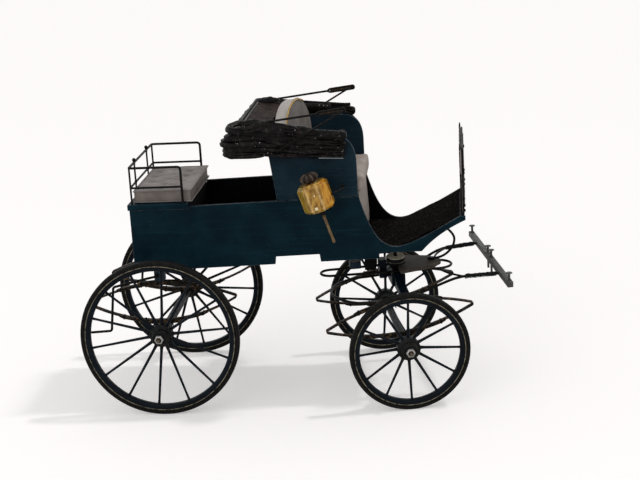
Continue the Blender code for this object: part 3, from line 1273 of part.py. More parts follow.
# Lamps
def lamp(word, side):
    """A lamp that hangs from a thin wire and swings about the wire's foot."""
    pivot_y = side * (BODY_HALF_WIDTH + GAP)
    swing = empty("lamp_" + word, vehicle, (LAMP_PIVOT_X, pivot_y, LAMP_PIVOT_Z))
    lamp_y = side * (BODY_HALF_WIDTH + LAMP_CLEARANCE + LAMP_RADIUS)
    place = Vector((LAMP_X - LAMP_PIVOT_X, lamp_y - pivot_y, LAMP_Z - LAMP_PIVOT_Z))
    half = LAMP_HEIGHT / 2
    bore = CORE_RADIUS / math.cos(math.pi / 8) + GAP
    glass = [
        (-half, bore), (-half, LAMP_RADIUS - LAMP_BEVEL), (-half + LAMP_BEVEL, LAMP_RADIUS),
        (half - LAMP_BEVEL, LAMP_RADIUS), (half, LAMP_RADIUS - LAMP_BEVEL), (half, bore),
    ]
    solid("lamp_glass_" + word, turned(glass, 8, "Z", closed=True, start=math.pi / 8), AMBER,
          swing, place, (0.0, LAMP_TILT, 0.0))
    top = half + GAP
    foot = -half - GAP
    collar = foot - LAMP_COLLAR_HEIGHT
    core = [
        (foot - STEM_LENGTH, 0.0), (foot - STEM_LENGTH, STEM_RADIUS),
        (collar - LAMP_COLLAR_HEIGHT, STEM_RADIUS), (collar, LAMP_COLLAR_RADIUS),
        (foot, LAMP_COLLAR_RADIUS),
        (foot, CORE_RADIUS), (top, CORE_RADIUS),
    ]
    core += [(top + up * CAP_HEIGHT, out * CAP_RADIUS) for up, out in CAP_TURNING]
    core.append((top + CAP_HEIGHT, 0.0))
    solid("lamp_core_" + word, turned(core, 12, "Z"), BRASS, swing, place,
          (0.0, LAMP_TILT, 0.0), smooth=math.radians(40))
    tilt = Matrix.Rotation(LAMP_TILT, 3, "Y")
    facet = LAMP_RADIUS * math.cos(math.pi / 8) + GAP
    wire = [
        place + tilt @ Vector((facet, 0.0, -LAMP_WIRE_BEND)),
        place + tilt @ Vector((facet + LAMP_WIRE_BEND, 0.0, -0.8 * LAMP_WIRE_BEND)),
        Vector((LAMP_WIRE_STAND, place.y * 0.55, LAMP_WIRE_RISE)),
        Vector((0.0, side * LAMP_WIRE_STAND, 0.0)),
        Vector((0.0, 0.0, 0.0)),
    ]
    solid("lamp_bracket_" + word, tube(rounded(wire, LAMP_WIRE_BEND, 3), LAMP_WIRE_RADIUS), IRON,
          swing, smooth=math.radians(50))


lamp("right", -1)
lamp("left", 1)

# Hood
pivot = Vector((HOOD_PIVOT_X, 0.0, HOOD_PIVOT_Z))
hood_low = empty("hood_low", vehicle, pivot)
hood_mid = empty("hood_mid", hood_low)
hood_top = empty("hood_top", hood_mid)


def roll_run(x):
    """How far a place lies behind the level front ends of the rolls."""
    return max(ROLL_LEVEL_FRONT_X - max(x, ROLL_LEVEL_X), 0.0)


def roll_height(x, level):
    """Centre height of one folded roll of leather at a place along its side."""
    return ROLL_LOW_Z + level * ROLL_PITCH + (ROLL_SLOPE + level * ROLL_SPREAD) * roll_run(x)


def roll_swell(x):
    """How much taller than its front end a roll is at a place along its side."""
    return 1.0 + ROLL_SPREAD * roll_run(x) / (2.0 * ROLL_HALF_HEIGHT)


def roll_path(rear_x, level, half_width, lift, front_x, corner):
    """A U that runs back along one side, behind the seat, and forward again."""
    stations = (front_x, ROLL_LEVEL_FRONT_X, ROLL_LEVEL_X)
    line = [(x, -half_width, roll_height(x, level) + lift) for x in stations]
    level_z = roll_height(ROLL_LEVEL_X, level) + lift
    for k in range(6):
        angle = math.radians(90 + 90 * k / 5)
        line.append((rear_x + corner + corner * math.cos(angle),
                     -(half_width - corner) - corner * math.sin(angle), level_z))
    line += [(x, -y, z) for x, y, z in reversed(line)]
    return [Vector(p) - pivot for p in line]


roll_section = [(ROLL_HALF_WIDTH * math.cos(a), ROLL_HALF_HEIGHT * math.sin(a))
                for a in (math.radians(22.5 + 45 * k) for k in range(8))]
for level, (name, hinge) in enumerate(
        (("hood_roll_low", hood_low), ("hood_roll_mid", hood_mid), ("hood_roll_top", hood_top))):
    rear_x = SEAT_SIDE_REAR_X - ROLL_REAR_OVERHANG[level]
    path = roll_path(rear_x, level, ROLL_Y, 0.0, ROLL_FRONT_X, ROLL_CORNER)
    swell = [roll_swell(p.x + HOOD_PIVOT_X) for p in path]
    solid(name, swept(path, roll_section, swell=swell), HOOD_LEATHER, hinge, smooth=math.radians(60))

# The hood's top bow lies on the upper roll; its rear bar stands a little proud
swollen = ROLL_HALF_HEIGHT * roll_swell(ROLL_LEVEL_X)
bow_lift = swollen + GAP + BOW_DEPTH / 2
bow_path = roll_path(BOW_REAR_X, 2, BOW_HALF_WIDTH, bow_lift, ROLL_FRONT_X - BOW_SETBACK, BOW_CORNER)
bow_side_z = roll_height(ROLL_LEVEL_X, 2) + bow_lift
for point in bow_path:
    if point.x + HOOD_PIVOT_X < (ROLL_LEVEL_X + BOW_REAR_X) / 2:
        point.z += BOW_REAR_RISE
half = (BOW_THICKNESS / 2, BOW_DEPTH / 2)
bow_section = [(-half[0], -half[1]), (half[0], -half[1]), (half[0], half[1]), (-half[0], half[1])]
solid("hood_bow", swept(bow_path, bow_section), IRON, hood_top)

# The back curtain slopes from the bow's rear bar down towards the seat back
bar_z = max(p.z for p in bow_path)
curtain_head = (BOW_REAR_X + BOW_THICKNESS / 2 + GAP - HOOD_PIVOT_X,
                bar_z + BOW_DEPTH / 2 - CURTAIN_HEAD_DROP)
curtain_foot = (CURTAIN_FOOT_X - HOOD_PIVOT_X, SEAT_SIDE_TOP + CURTAIN_FOOT_RISE - HOOD_PIVOT_Z)
curtain_outline = [
    curtain_head,
    (curtain_head[0], curtain_head[1] - 2.0 * CURTAIN_THICKNESS),
    (curtain_foot[0] - 0.6 * CURTAIN_THICKNESS, curtain_foot[1] - CURTAIN_THICKNESS),
    (curtain_foot[0] + 0.6 * CURTAIN_THICKNESS, curtain_foot[1]),
    (curtain_head[0] + CURTAIN_THICKNESS, curtain_head[1]),
]
solid("hood_curtain", prism(curtain_outline, -CURTAIN_HALF_WIDTH, CURTAIN_HALF_WIDTH),
      HOOD_LEATHER, hood_top)


# Hood irons
def hood_irons(word, side):
    """An upper iron hinged on the top bow, and a lower one hinged at its elbow."""
    y_a = side * IRON_A_Y
    y_b = side * IRON_B_Y
    a_at = Vector((IRON_A_X, 0.0, bow_side_z))
    elbow = Vector((ELBOW_X, 0.0, bow_side_z + ELBOW_RISE))
    iron_a = empty("iron_hinge_" + word, hood_top, a_at - pivot)
    iron_b = empty("iron_elbow_" + word, iron_a, elbow - a_at)
    run = elbow - a_at
    along = run.normalized()
    up = Vector((-along.z, 0.0, along.x))
    tip = run.length + HAIRPIN_REACH
    slot = tip - HAIRPIN_LENGTH
    flat = Vector((0.0, y_a, 0.0))
    path = rounded([
        flat,
        along * slot + flat,
        along * (slot + HAIRPIN_TAPER) - up * HAIRPIN_REACH + flat,
        along * tip - up * HAIRPIN_REACH + flat,
        along * tip + up * HAIRPIN_REACH + flat,
        along * (slot + HAIRPIN_TAPER) + up * HAIRPIN_REACH + flat,
    ], HAIRPIN_CORNER, 3)
    solid("iron_upper_" + word, tube(path, IRON_RADIUS, up=(0.3, 0, 1)), IRON, iron_a,
          smooth=math.radians(50))
    foot = Vector((IRON_B_X, 0.0, IRON_B_Z)) - elbow
    path = rounded([
        Vector((0.0, y_a - side * IRON_RADIUS, 0.0)),
        Vector((0.0, y_b, 0.0)),
        foot + Vector((0.0, y_b, 0.0)),
    ], ELBOW_CORNER, 2)
    solid("iron_lower_" + word, tube(path, IRON_RADIUS, up=(0.3, 0, 1)), IRON, iron_b,
          smooth=math.radians(50))


hood_irons("right", -1)
hood_irons("left", 1)
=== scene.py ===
"""Looks of the phaeton scale model: every visible surface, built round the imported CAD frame.

Lengths are millimetres in the vehicle's own drawing frame, with x forward from the rear
axle, y to the left and z up from the ground, until a piece is placed in the row frame.
"""

import math
import random

import bmesh
import bpy
from mathutils import Matrix, Vector, noise


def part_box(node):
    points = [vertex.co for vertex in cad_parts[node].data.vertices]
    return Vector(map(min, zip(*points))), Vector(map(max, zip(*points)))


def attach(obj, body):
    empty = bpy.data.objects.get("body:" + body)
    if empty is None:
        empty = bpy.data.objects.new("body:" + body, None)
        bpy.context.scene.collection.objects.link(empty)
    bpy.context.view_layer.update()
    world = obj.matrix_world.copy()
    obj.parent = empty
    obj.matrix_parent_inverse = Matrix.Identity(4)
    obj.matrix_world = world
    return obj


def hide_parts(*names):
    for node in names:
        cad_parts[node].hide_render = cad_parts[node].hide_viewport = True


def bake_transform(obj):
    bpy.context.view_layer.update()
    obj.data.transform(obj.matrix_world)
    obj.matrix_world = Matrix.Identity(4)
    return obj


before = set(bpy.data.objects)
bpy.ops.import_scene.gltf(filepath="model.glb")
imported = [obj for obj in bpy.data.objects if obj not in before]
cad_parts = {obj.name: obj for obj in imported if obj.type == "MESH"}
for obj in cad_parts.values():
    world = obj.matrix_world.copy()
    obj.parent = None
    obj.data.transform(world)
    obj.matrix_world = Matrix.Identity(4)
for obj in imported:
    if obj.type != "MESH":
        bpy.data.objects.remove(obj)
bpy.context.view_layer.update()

MM = 0.001

# The gap that stands for glue or solder between seated parts, the radius that a turned
# profile keeps on its axis, the share of a side that a rounded corner may take, and the
# steps round a wheel's rim
GAP = 0.3
POINT_RADIUS = 0.01
CORNER_SHARE = 0.48
RIM_STEPS = 128

# The drawing frame hangs on the rear axle, which is centred on x = 0 and y = 0
axle_low, axle_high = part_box("rear_axle")
ORIGIN = Vector(((axle_low.x + axle_high.x) / 2, (axle_low.y + axle_high.y) / 2, 0.0))
VEHICLE = Matrix.Translation(ORIGIN) @ Matrix.Scale(MM, 4)
KINGPIN_X = 203.0
STEER = math.radians(10.9)
FORE = VEHICLE @ Matrix.Translation((KINGPIN_X, 0.0, 0.0)) @ Matrix.Rotation(STEER, 4, "Z")

# Wheels and axles
REAR_RADIUS = 70.0
REAR_SPOKES = 14
REAR_BEAM = 8.0
FRONT_RADIUS = 52.4
FRONT_SPOKES = 12
FRONT_BEAM = 7.0
BEAM_HEIGHT = 5.4
HALF_TRACK = 69.7
DISH = 8.2
TYRE_WIDTH = 6.8
TYRE_THICKNESS = 3.8
FELLOE_WIDTH = 6.0
FELLOE_DEPTH = 4.9
NAVE_REACH = 11.0
NAVE_END = 6.7
NAVE_BODY = 7.2
NAVE_FLANGE = 10.2
SHOULDER = 58.4
NUT_FACE = 81.0
NUT_THICKNESS = 3.2
NUT_RADIUS = 4.0
FRONT_AXLE_X = -1.6

# Springs
SPRING_TRACK = 46.7
SPRING_WIDTH = 5.0
LEAF = 1.45
LEAF_STEP = 1.25

# Body shell
HALF_WIDTH = 50.3
INNER_HALF = 47.3
REAR_X = -23.3
REAR_BOTTOM = 122.3
REAR_TOP = 178.7
BODY_SLOPE = 0.0272
FLOOR_TOP = 136.6
TOE_X = 262.8
TOE_Z = 164.1
SEAT_BOARD_TOP = 183.0
SEAT_SIDE_TOP = 237.0
SEAT_SIDE_REAR = 106.4
SEAT_SIDE_FRONT = 176.3

# Hood: three rolls, from the lowest to the top one, a bow on top and two irons a side
HOOD_MIDDLE_X = 125.0
ROLL_Y = 55.5
ROLL_HALF_WIDTH = 4.6
ROLL_HALF_HEIGHT = 3.75
ROLL_PITCH = 7.8
ROLL_CORNER = 9.0
ROLL_REAR = (69.0, 65.0, 71.0)
ROLL_FRONT = (167.2, 168.6, 169.5)
BOW_X = 80.0
BOW_DROP = 6.0
IRON_Y = 55.75
IRON_START = Vector((93.0, 0.0, 251.4))

# Side lamps: the middle of the right one's glass, mirrored for the left, and its core
LAMP = Vector((142.3, 67.2, 189.1))
LAMP_TILT = math.radians(-18.0)
CORE_FOOT = -14.6
CORE_TOP = 14.3
EIGHTH = math.pi / 8


# Meshes, built in millimetres

def skin(bm, rings, closed=False):
    """Faces between rings of points that all have as many points, with end caps if open."""
    loops = [[bm.verts.new(p) for p in ring] for ring in rings]
    pairs = list(zip(loops, loops[1:]))
    if closed:
        pairs.append((loops[-1], loops[0]))
    for first, second in pairs:
        for i in range(len(first)):
            j = (i + 1) % len(first)
            bm.faces.new((first[i], first[j], second[j], second[i]))
    if not closed:
        bm.faces.new(list(reversed(loops[0])))
        bm.faces.new(loops[-1])


def on_axis(axis, along, u, v):
    """A point from its place along an axis and its other two coordinates."""
    return {"X": (along, u, v), "Y": (u, along, v), "Z": (u, v, along)}[axis]


def lifted(base, profile):
    """A profile of (along, radius) pairs that starts from base."""
    return [(base + along, radius) for along, radius in profile]


def lathe(bm, profile, segments=48, axis="Y", at=(0, 0, 0), closed=False, start=0.0):
    """Spin (along, radius) pairs round an axis through a point."""
    turns = [start + 2.0 * math.pi * k / segments for k in range(segments)]
    rings = []
    for along, radius in profile:
        size = max(radius, POINT_RADIUS)
        rings.append([Vector(on_axis(axis, along, size * math.cos(a), size * math.sin(a))) + Vector(at)
                      for a in turns])
    skin(bm, rings, closed)


def frames(path, up=(0, 0, 1), closed=False):
    """Each point of a path with the directions to its side and to its top."""
    count = len(path)
    side = None
    for i, point in enumerate(path):
        before = path[i - 1] if closed or i > 0 else point
        after = path[(i + 1) % count] if closed or i < count - 1 else point
        along = (after - before).normalized()
        if side is None:
            side = Vector(up).cross(along)
        side = (side - along * side.dot(along)).normalized()
        yield point, side, along.cross(side)


def sweep(bm, path, section, up=(0, 0, 1), closed=False, scale=None):
    """Carry a flat section along a path; scale gives (across, tall) at each point."""
    rings = []
    for i, (point, side, top) in enumerate(frames([Vector(p) for p in path], up, closed)):
        wide, tall = scale[i] if scale else (1.0, 1.0)
        rings.append([point + side * u * wide + top * v * tall for u, v in section])
    skin(bm, rings, closed)


def round_section(radius, sides=10, squash=1.0):
    """A circle of points, or an oval where squash isn't 1."""
    turns = [2.0 * math.pi * k / sides for k in range(sides)]
    return [(radius * math.cos(a), radius * squash * math.sin(a)) for a in turns]


def bar_section(width, height, corner):
    """A rectangle with rounded corners."""
    steps = 2
    points = []
    for cx, cy, first in ((1, 1, 0), (-1, 1, 90), (-1, -1, 180), (1, -1, 270)):
        for k in range(steps + 1):
            angle = math.radians(first + 90.0 * k / steps)
            points.append((cx * (width / 2 - corner) + corner * math.cos(angle),
                           cy * (height / 2 - corner) + corner * math.sin(angle)))
    return points


def wire(bm, path, radius, sides=12, closed=False, up=(0, 0, 1)):
    """A round rod along a path, with domed ends."""
    path = [Vector(p) for p in path]
    scale = None
    if not closed:
        # Each ring of a dome: how far out it lies and how wide it is, as shares of the radius
        dome = ((0.98, 0.25), (0.75, 0.68))
        head = (path[0] - path[1]).normalized() * radius
        tail = (path[-1] - path[-2]).normalized() * radius
        scale = [(1.0, 1.0)] * len(path)
        for out, wide in reversed(dome):
            scale = [(wide, wide)] + scale + [(wide, wide)]
        first, last = path[0], path[-1]
        path = [first + head * out for out, wide in dome] + path
        path += [last + tail * out for out, wide in reversed(dome)]
    sweep(bm, path, round_section(radius, sides), up, closed, scale)


def smooth(points, per=6):
    """A smooth curve through the points, with per steps from one to the next."""
    points = [Vector(p) for p in points]
    last = len(points) - 1
    path = []
    for i in range(last):
        a, b, c, d = (points[min(max(i + k, 0), last)] for k in (-1, 0, 1, 2))
        for k in range(per):
            t = k / per
            path.append(0.5 * (2 * b + (c - a) * t + (2 * a - 5 * b + 4 * c - d) * t ** 2
                               + (3 * b - a - 3 * c + d) * t ** 3))
    path.append(points[-1])
    return path


def rounded(points, radius, steps=6):
    """An open path with each inner corner turned into a short curve."""
    points = [Vector(p) for p in points]
    path = [points[0]]
    for before, corner, after in zip(points, points[1:], points[2:]):
        back = before - corner
        ahead = after - corner
        reach = radius / math.tan(back.angle(ahead) / 2)
        reach = min(reach, back.length * CORNER_SHARE, ahead.length * CORNER_SHARE)
        first = corner + back.normalized() * reach
        last = corner + ahead.normalized() * reach
        for k in range(steps + 1):
            t = k / steps
            path.append(first * (1 - t) ** 2 + corner * 2 * t * (1 - t) + last * t ** 2)
    path.append(points[-1])
    return path


def soften(bm, faces, width, angle=25.0, segments=2):
    """Round the sharp edges of some faces."""
    bm.normal_update()
    edges = {e for f in faces for e in f.edges
             if len(e.link_faces) == 2 and e.calc_face_angle(0.0) > math.radians(angle)}
    bmesh.ops.bevel(bm, geom=list(edges), offset=width, segments=segments, profile=0.5,
                    affect="EDGES", clamp_overlap=True)


def slab(bm, outline, low, high, axis="Y", edge=0.4):
    """A board cut to an outline, with softened edges."""
    near = [bm.verts.new(on_axis(axis, low, u, v)) for u, v in outline]
    far = [bm.verts.new(on_axis(axis, high, u, v)) for u, v in outline]
    faces = [bm.faces.new(near), bm.faces.new(list(reversed(far)))]
    for i in range(len(outline)):
        j = (i + 1) % len(outline)
        faces.append(bm.faces.new((near[i], far[i], far[j], near[j])))
    bmesh.ops.recalc_face_normals(bm, faces=faces)
    if edge:
        soften(bm, faces, edge)


def block(bm, low, high, edge=0.4):
    """A box from its lowest to its highest corner."""
    outline = [(low[0], low[1]), (high[0], low[1]), (high[0], high[1]), (low[0], high[1])]
    slab(bm, outline, low[2], high[2], "Z", edge)


def ball(bm, centre, radius, squash=(1, 1, 1), rings=10, sides=16):
    """A ball; squash makes it an oval, and pole keeps its end rings from shrinking to a point."""
    pole = 0.02
    rows = []
    for k in range(rings + 1):
        angle = math.pi * (k + pole) / (rings + 2.0 * pole)
        rows.append([Vector(centre) + Vector((
            squash[0] * radius * math.sin(angle) * math.cos(2 * math.pi * j / sides),
            squash[1] * radius * math.sin(angle) * math.sin(2 * math.pi * j / sides),
            squash[2] * radius * math.cos(angle))) for j in range(sides)])
    skin(bm, rows)


def grid(bm, across, along, point):
    """A sheet of quads; point(u, v) gives each corner for u and v from 0 to 1."""
    rows = [[bm.verts.new(point(i / across, j / along)) for i in range(across + 1)]
            for j in range(along + 1)]
    for lower, upper in zip(rows, rows[1:]):
        for i in range(across):
            bm.faces.new((lower[i], lower[i + 1], upper[i + 1], upper[i]))


def ripple(x, y, z):
    """Smooth noise between about -1 and 1."""
    return noise.noise(Vector((x, y, z)))


def stand(name, data):
    """Put an object into the scene."""
    made = bpy.data.objects.new(name, data)
    bpy.context.scene.collection.objects.link(made)
    return made


def make(name, bm, look, place=VEHICLE, angle=35.0):
    """Turn a millimetre mesh into an object in the row frame."""
    bmesh.ops.recalc_face_normals(bm, faces=bm.faces)
    bm.transform(place)
    mesh = bpy.data.meshes.new(name)
    bm.to_mesh(mesh)
    bm.free()
    mesh.shade_smooth()
    mesh.set_sharp_from_angle(angle=math.radians(angle))
    mesh.materials.append(look)
    return stand(name, mesh)


def tell(made, body, stands_for=()):
    """Say which body a piece rides on and which CAD nodes it replaces."""
    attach(made, body)
    if stands_for:
        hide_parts(*stands_for)
    return made


def piece(name, bm, look, body, place=VEHICLE, stands_for=(), angle=35.0):
    """Make a millimetre mesh a visible piece of its body."""
    return tell(make(name, bm, look, place, angle), body, stands_for)


def thicken(made, thickness):
    """Give a sheet its thickness, half of it to each side."""
    thick = made.modifiers.new("thick", "SOLIDIFY")
    thick.thickness = thickness * MM
    thick.offset = 0.0


def applied(made):
    """Apply an object's modifiers and return its new mesh."""
    graph = bpy.context.evaluated_depsgraph_get()
    done = bpy.data.meshes.new_from_object(made.evaluated_get(graph))
    made.modifiers.clear()
    made.data = done
    return done


def second_look(made, look, belongs):
    """Give the faces whose normal passes a test a look of their own."""
    made.data.materials.append(look)
    for polygon in made.data.polygons:
        polygon.material_index = 1 if belongs(polygon.normal) else 0


def dress(node, look, edge):
    """Give a CAD board its finish and softened edges."""
    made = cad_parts[node]
    made.data.materials.clear()
    made.data.materials.append(look)
    weld_reach = 0.01
    sharp = math.radians(28)
    if edge:
        weld = made.modifiers.new("weld", "WELD")
        weld.merge_threshold = weld_reach * MM
        bevel = made.modifiers.new("edges", "BEVEL")
        bevel.width = edge * MM
        bevel.segments = 2
        bevel.limit_method = "ANGLE"
        bevel.angle_limit = sharp
        bevel.harden_normals = True


# Finishes

def feed(tree, target, value):
    """Feed a socket from another node, or with a colour or a number."""
    if isinstance(value, bpy.types.NodeSocket):
        tree.links.new(value, target)
    elif isinstance(value, tuple) and len(value) == 3 and target.type == "RGBA":
        target.default_value = (*value, 1.0)
    else:
        target.default_value = value


def add_node(tree, kind, **inputs):
    """A shader node with its inputs fed; a name's _ stands for a space."""
    node = tree.nodes.new("ShaderNode" + kind)
    for name, value in inputs.items():
        feed(tree, node.inputs[name.replace("_", " ")], value)
    return node


def add_math(tree, operation, first, second=0.0):
    """The result of a calculation with two values."""
    node = add_node(tree, "Math")
    node.operation = operation
    feed(tree, node.inputs[0], first)
    feed(tree, node.inputs[1], second)
    return node.outputs["Value"]


class Look:
    """A procedural material whose patterns are sized in millimetres."""

    def __init__(self, name, roughness, metallic, specular):
        self.made = bpy.data.materials.new(name)
        self.made.use_nodes = True
        self.tree = self.made.node_tree
        self.shader = self.tree.nodes["Principled BSDF"]
        self.fix("Roughness", roughness)
        self.fix("Metallic", metallic)
        self.fix("Specular IOR Level", specular)
        coords = self.add("TexCoord")
        self.place = self.scaled(coords.outputs["Object"], (1.0 / MM, 1.0 / MM, 1.0 / MM))
        self.normal = None

    def fix(self, name, value):
        """Set an input of the shader to one value."""
        self.shader.inputs[name].default_value = value

    def link(self, name, socket):
        """Feed an input of the shader from another node."""
        self.tree.links.new(socket, self.shader.inputs[name])

    def add(self, kind, **inputs):
        return add_node(self.tree, kind, **inputs)

    def scaled(self, vector, scale):
        return self.add("Mapping", Scale=scale, Vector=vector).outputs["Vector"]

    def noise(self, size, detail=4.0, rough=0.55, stretch=None, twist=0.0):
        """Cloudy noise whose patches are size millimetres wide."""
        place = self.scaled(self.place, stretch) if stretch else self.place
        node = self.add("TexNoise", Vector=place, Scale=1.0 / size, Detail=detail, Roughness=rough,
                        Distortion=twist)
        return node.outputs["Fac"]

    def cells(self, size, feature="F1"):
        """Distance within cells that are size millimetres wide."""
        node = self.add("TexVoronoi", Vector=self.place, Scale=1.0 / size)
        node.feature = feature
        return node.outputs["Distance"]

    def band(self, value, low, high, floor=0.0, ceiling=1.0):
        """A soft step from floor, at low, to ceiling, at high."""
        node = self.add("MapRange", Value=value, From_Min=low, From_Max=high, To_Min=floor, To_Max=ceiling)
        node.interpolation_type = "SMOOTHSTEP"
        return node.outputs["Result"]

    def calc(self, operation, first, second=0.0):
        return add_math(self.tree, operation, first, second)

    def times(self, first, second):
        return self.calc("MULTIPLY", first, second)

    def blend(self, share, first, second):
        """From the first colour to the second as share goes from 0 to 1."""
        first_colour, second_colour, mixed = 6, 7, 2
        node = self.add("Mix", Factor=share)
        node.data_type = "RGBA"
        feed(self.tree, node.inputs[first_colour], first)
        feed(self.tree, node.inputs[second_colour], second)
        return node.outputs[mixed]

    def edges(self, radius):
        """1 along sharp edges, 0 on the flats."""
        node = self.add("Bevel", Radius=radius * MM)
        node.samples = 6
        dot = self.add("VectorMath")
        dot.operation = "DOT_PRODUCT"
        feed(self.tree, dot.inputs[0], node.outputs["Normal"])
        feed(self.tree, dot.inputs[1], self.add("NewGeometry").outputs["Normal"])
        flat, sharp = 0.995, 0.9
        return self.band(dot.outputs["Value"], flat, sharp)

    def axis(self, which):
        """A coordinate in millimetres of the vehicle's own frame."""
        node = self.add("SeparateXYZ", Vector=self.place)
        shift = {"X": ORIGIN.x, "Y": ORIGIN.y, "Z": 0.0}[which] / MM
        return self.calc("SUBTRACT", node.outputs[which], shift)

    def facing(self, which):
        """How far the surface faces along an axis."""
        normal = self.add("NewGeometry").outputs["Normal"]
        return self.add("SeparateXYZ", Vector=normal).outputs[which]

    def bump(self, height, depth, strength):
        """Relief that is depth millimetres deep, on top of the relief so far."""
        node = self.add("Bump", Strength=strength, Distance=depth * MM, Height=height)
        if self.normal is not None:
            feed(self.tree, node.inputs["Normal"], self.normal)
        self.normal = node.outputs["Normal"]
        self.link("Normal", self.normal)


def painted(name, dark, light, worn, roughness=0.45, specular=0.05, wear=0.5, inside=None):
    """Old brush paint: cloudy colour, brush marks, dust specks and rubbed edges, whose pale worn colour
    also serves as a painted edge highlight.
    """
    look = Look(name, roughness, 0.0, specular)
    colour = look.blend(look.band(look.noise(26.0, 5.0), 0.35, 0.68), dark, light)
    streaks = look.band(look.noise(3.4, 5.0, 0.65, (0.05, 1.0, 1.0)), 0.52, 0.74)
    colour = look.blend(look.times(streaks, 0.45), colour, tuple(1.9 * c + 0.001 for c in light))
    if inside is not None:
        within = look.band(look.calc("ABSOLUTE", look.axis("Y")), HALF_WIDTH - 0.9, HALF_WIDTH - 1.5)
        colour = look.blend(within, colour, inside)
    grime = look.band(look.noise(9.0, 6.0, 0.65), 0.5, 0.78)
    colour = look.blend(look.times(grime, 0.35), colour, tuple(0.45 * c for c in dark))
    # Rubbed edges: real wear, and with a pale worn colour also a painted highlight along the edges
    rubbed = look.times(look.edges(0.55), look.band(look.noise(5.5, 7.0, 0.7), wear, wear + 0.14))
    colour = look.blend(rubbed, colour, worn)
    speck = look.times(look.band(look.cells(3.1), 0.075, 0.045),
                      look.band(look.noise(7.0, 2.0), 0.55, 0.62))
    colour = look.blend(look.times(speck, 0.55), colour, worn)
    look.link("Base Color", colour)
    strokes = look.noise(1.6, 3.0, 0.6, (0.06, 1.0, 1.0))
    look.link("Roughness", look.band(look.noise(6.0, 6.0, 0.7), 0.3, 0.75, roughness - 0.08,
                                     roughness + 0.16))
    look.bump(strokes, 0.10, 0.5)
    look.bump(look.noise(0.55, 2.0), 0.05, 0.35)
    return look.made


def metal(name, dark, light, rust, roughness=0.42, metallic=0.35, specular=0.3, share=0.56, spots=3.2):
    """Blackened iron or steel with brown rubbed patches; on the tyre the tan patches also paint dotted
    highlights.
    """
    look = Look(name, roughness, metallic, specular)
    colour = look.blend(look.band(look.noise(5.0, 5.0), 0.35, 0.7), dark, light)
    rusted = look.band(look.noise(spots, 7.0, 0.7), share, share + 0.16)
    colour = look.blend(rusted, colour, rust)
    look.link("Base Color", colour)
    look.link("Roughness", look.band(look.noise(1.6, 5.0), 0.3, 0.7, roughness - 0.1, roughness + 0.2))
    look.bump(look.noise(0.7, 4.0, 0.65), 0.12, 0.5)
    return look.made


def leather(name, dark, light, worn, roughness=0.6, specular=0.25, grain=0.55, specks=0.0, crease=7.0,
            worn_from=0.6, speck=(0.46, 0.44, 0.42), speck_size=3.0):
    """Leather: cloudy dye, fine pebble grain, soft creases and rubbed patches; on the hood the patches
    also paint a sheen.
    """
    look = Look(name, roughness, 0.0, specular)
    colour = look.blend(look.band(look.noise(crease * 2.2, 5.0), 0.32, 0.7), dark, light)
    rubbed = look.band(look.noise(crease * 0.8, 7.0, 0.72, None, 0.6), worn_from, worn_from + 0.16)
    colour = look.blend(look.times(rubbed, 0.75), colour, worn)
    if specks:
        flakes = look.times(look.band(look.cells(speck_size), 0.19, 0.08),
                           look.band(look.noise(7.0, 3.0), specks, specks + 0.05))
        colour = look.blend(look.times(flakes, 0.9), colour, speck)
        dusty = look.times(look.band(look.noise(2.0, 7.0, 0.75), 0.56, 0.68),
                          look.band(look.noise(11.0, 3.0), 0.54, 0.66))
        colour = look.blend(look.times(dusty, 0.45), colour, tuple(0.5 * c for c in speck))
    look.link("Base Color", colour)
    look.link("Roughness", look.band(look.noise(crease * 0.5, 5.0), 0.3, 0.75, roughness - 0.1,
                                     roughness + 0.14))
    creases = look.noise(crease * 0.7, 5.0, 0.6, None, 1.6)
    look.bump(creases, 0.55, 0.45)
    look.bump(look.cells(grain, "DISTANCE_TO_EDGE"), 0.10, 0.45)
    look.bump(look.noise(grain * 2.2, 4.0, 0.7), 0.12, 0.4)
    return look.made


def wooden(name, dark, light, stretch=(0.16, 1.0, 1.0)):
    """Planed wood with long grain and small pores."""
    roughness = 0.62
    look = Look(name, roughness, 0.0, 0.2)
    grain = look.noise(1.3, 6.0, 0.6, stretch, 0.5)
    colour = look.blend(look.band(grain, 0.32, 0.68), dark, light)
    stain = look.band(look.noise(8.0, 5.0), 0.5, 0.75)
    colour = look.blend(look.times(stain, 0.6), colour, tuple(0.4 * c for c in dark))
    look.link("Base Color", colour)
    look.link("Roughness", look.band(grain, 0.3, 0.7, roughness - 0.08, roughness + 0.12))
    look.bump(grain, 0.16, 0.6)
    return look.made


NAVY_DARK = (0.0012, 0.0098, 0.0165)
NAVY_LIGHT = (0.0030, 0.0185, 0.0275)
# Pale blue of the rubbed panel and seat edges: partly wear, partly a painted highlight along the curved
# edges
EDGE_WEAR_AND_HIGHLIGHT_BLUE = (0.20, 0.235, 0.26)
RAW_WOOD = (0.30, 0.26, 0.19)

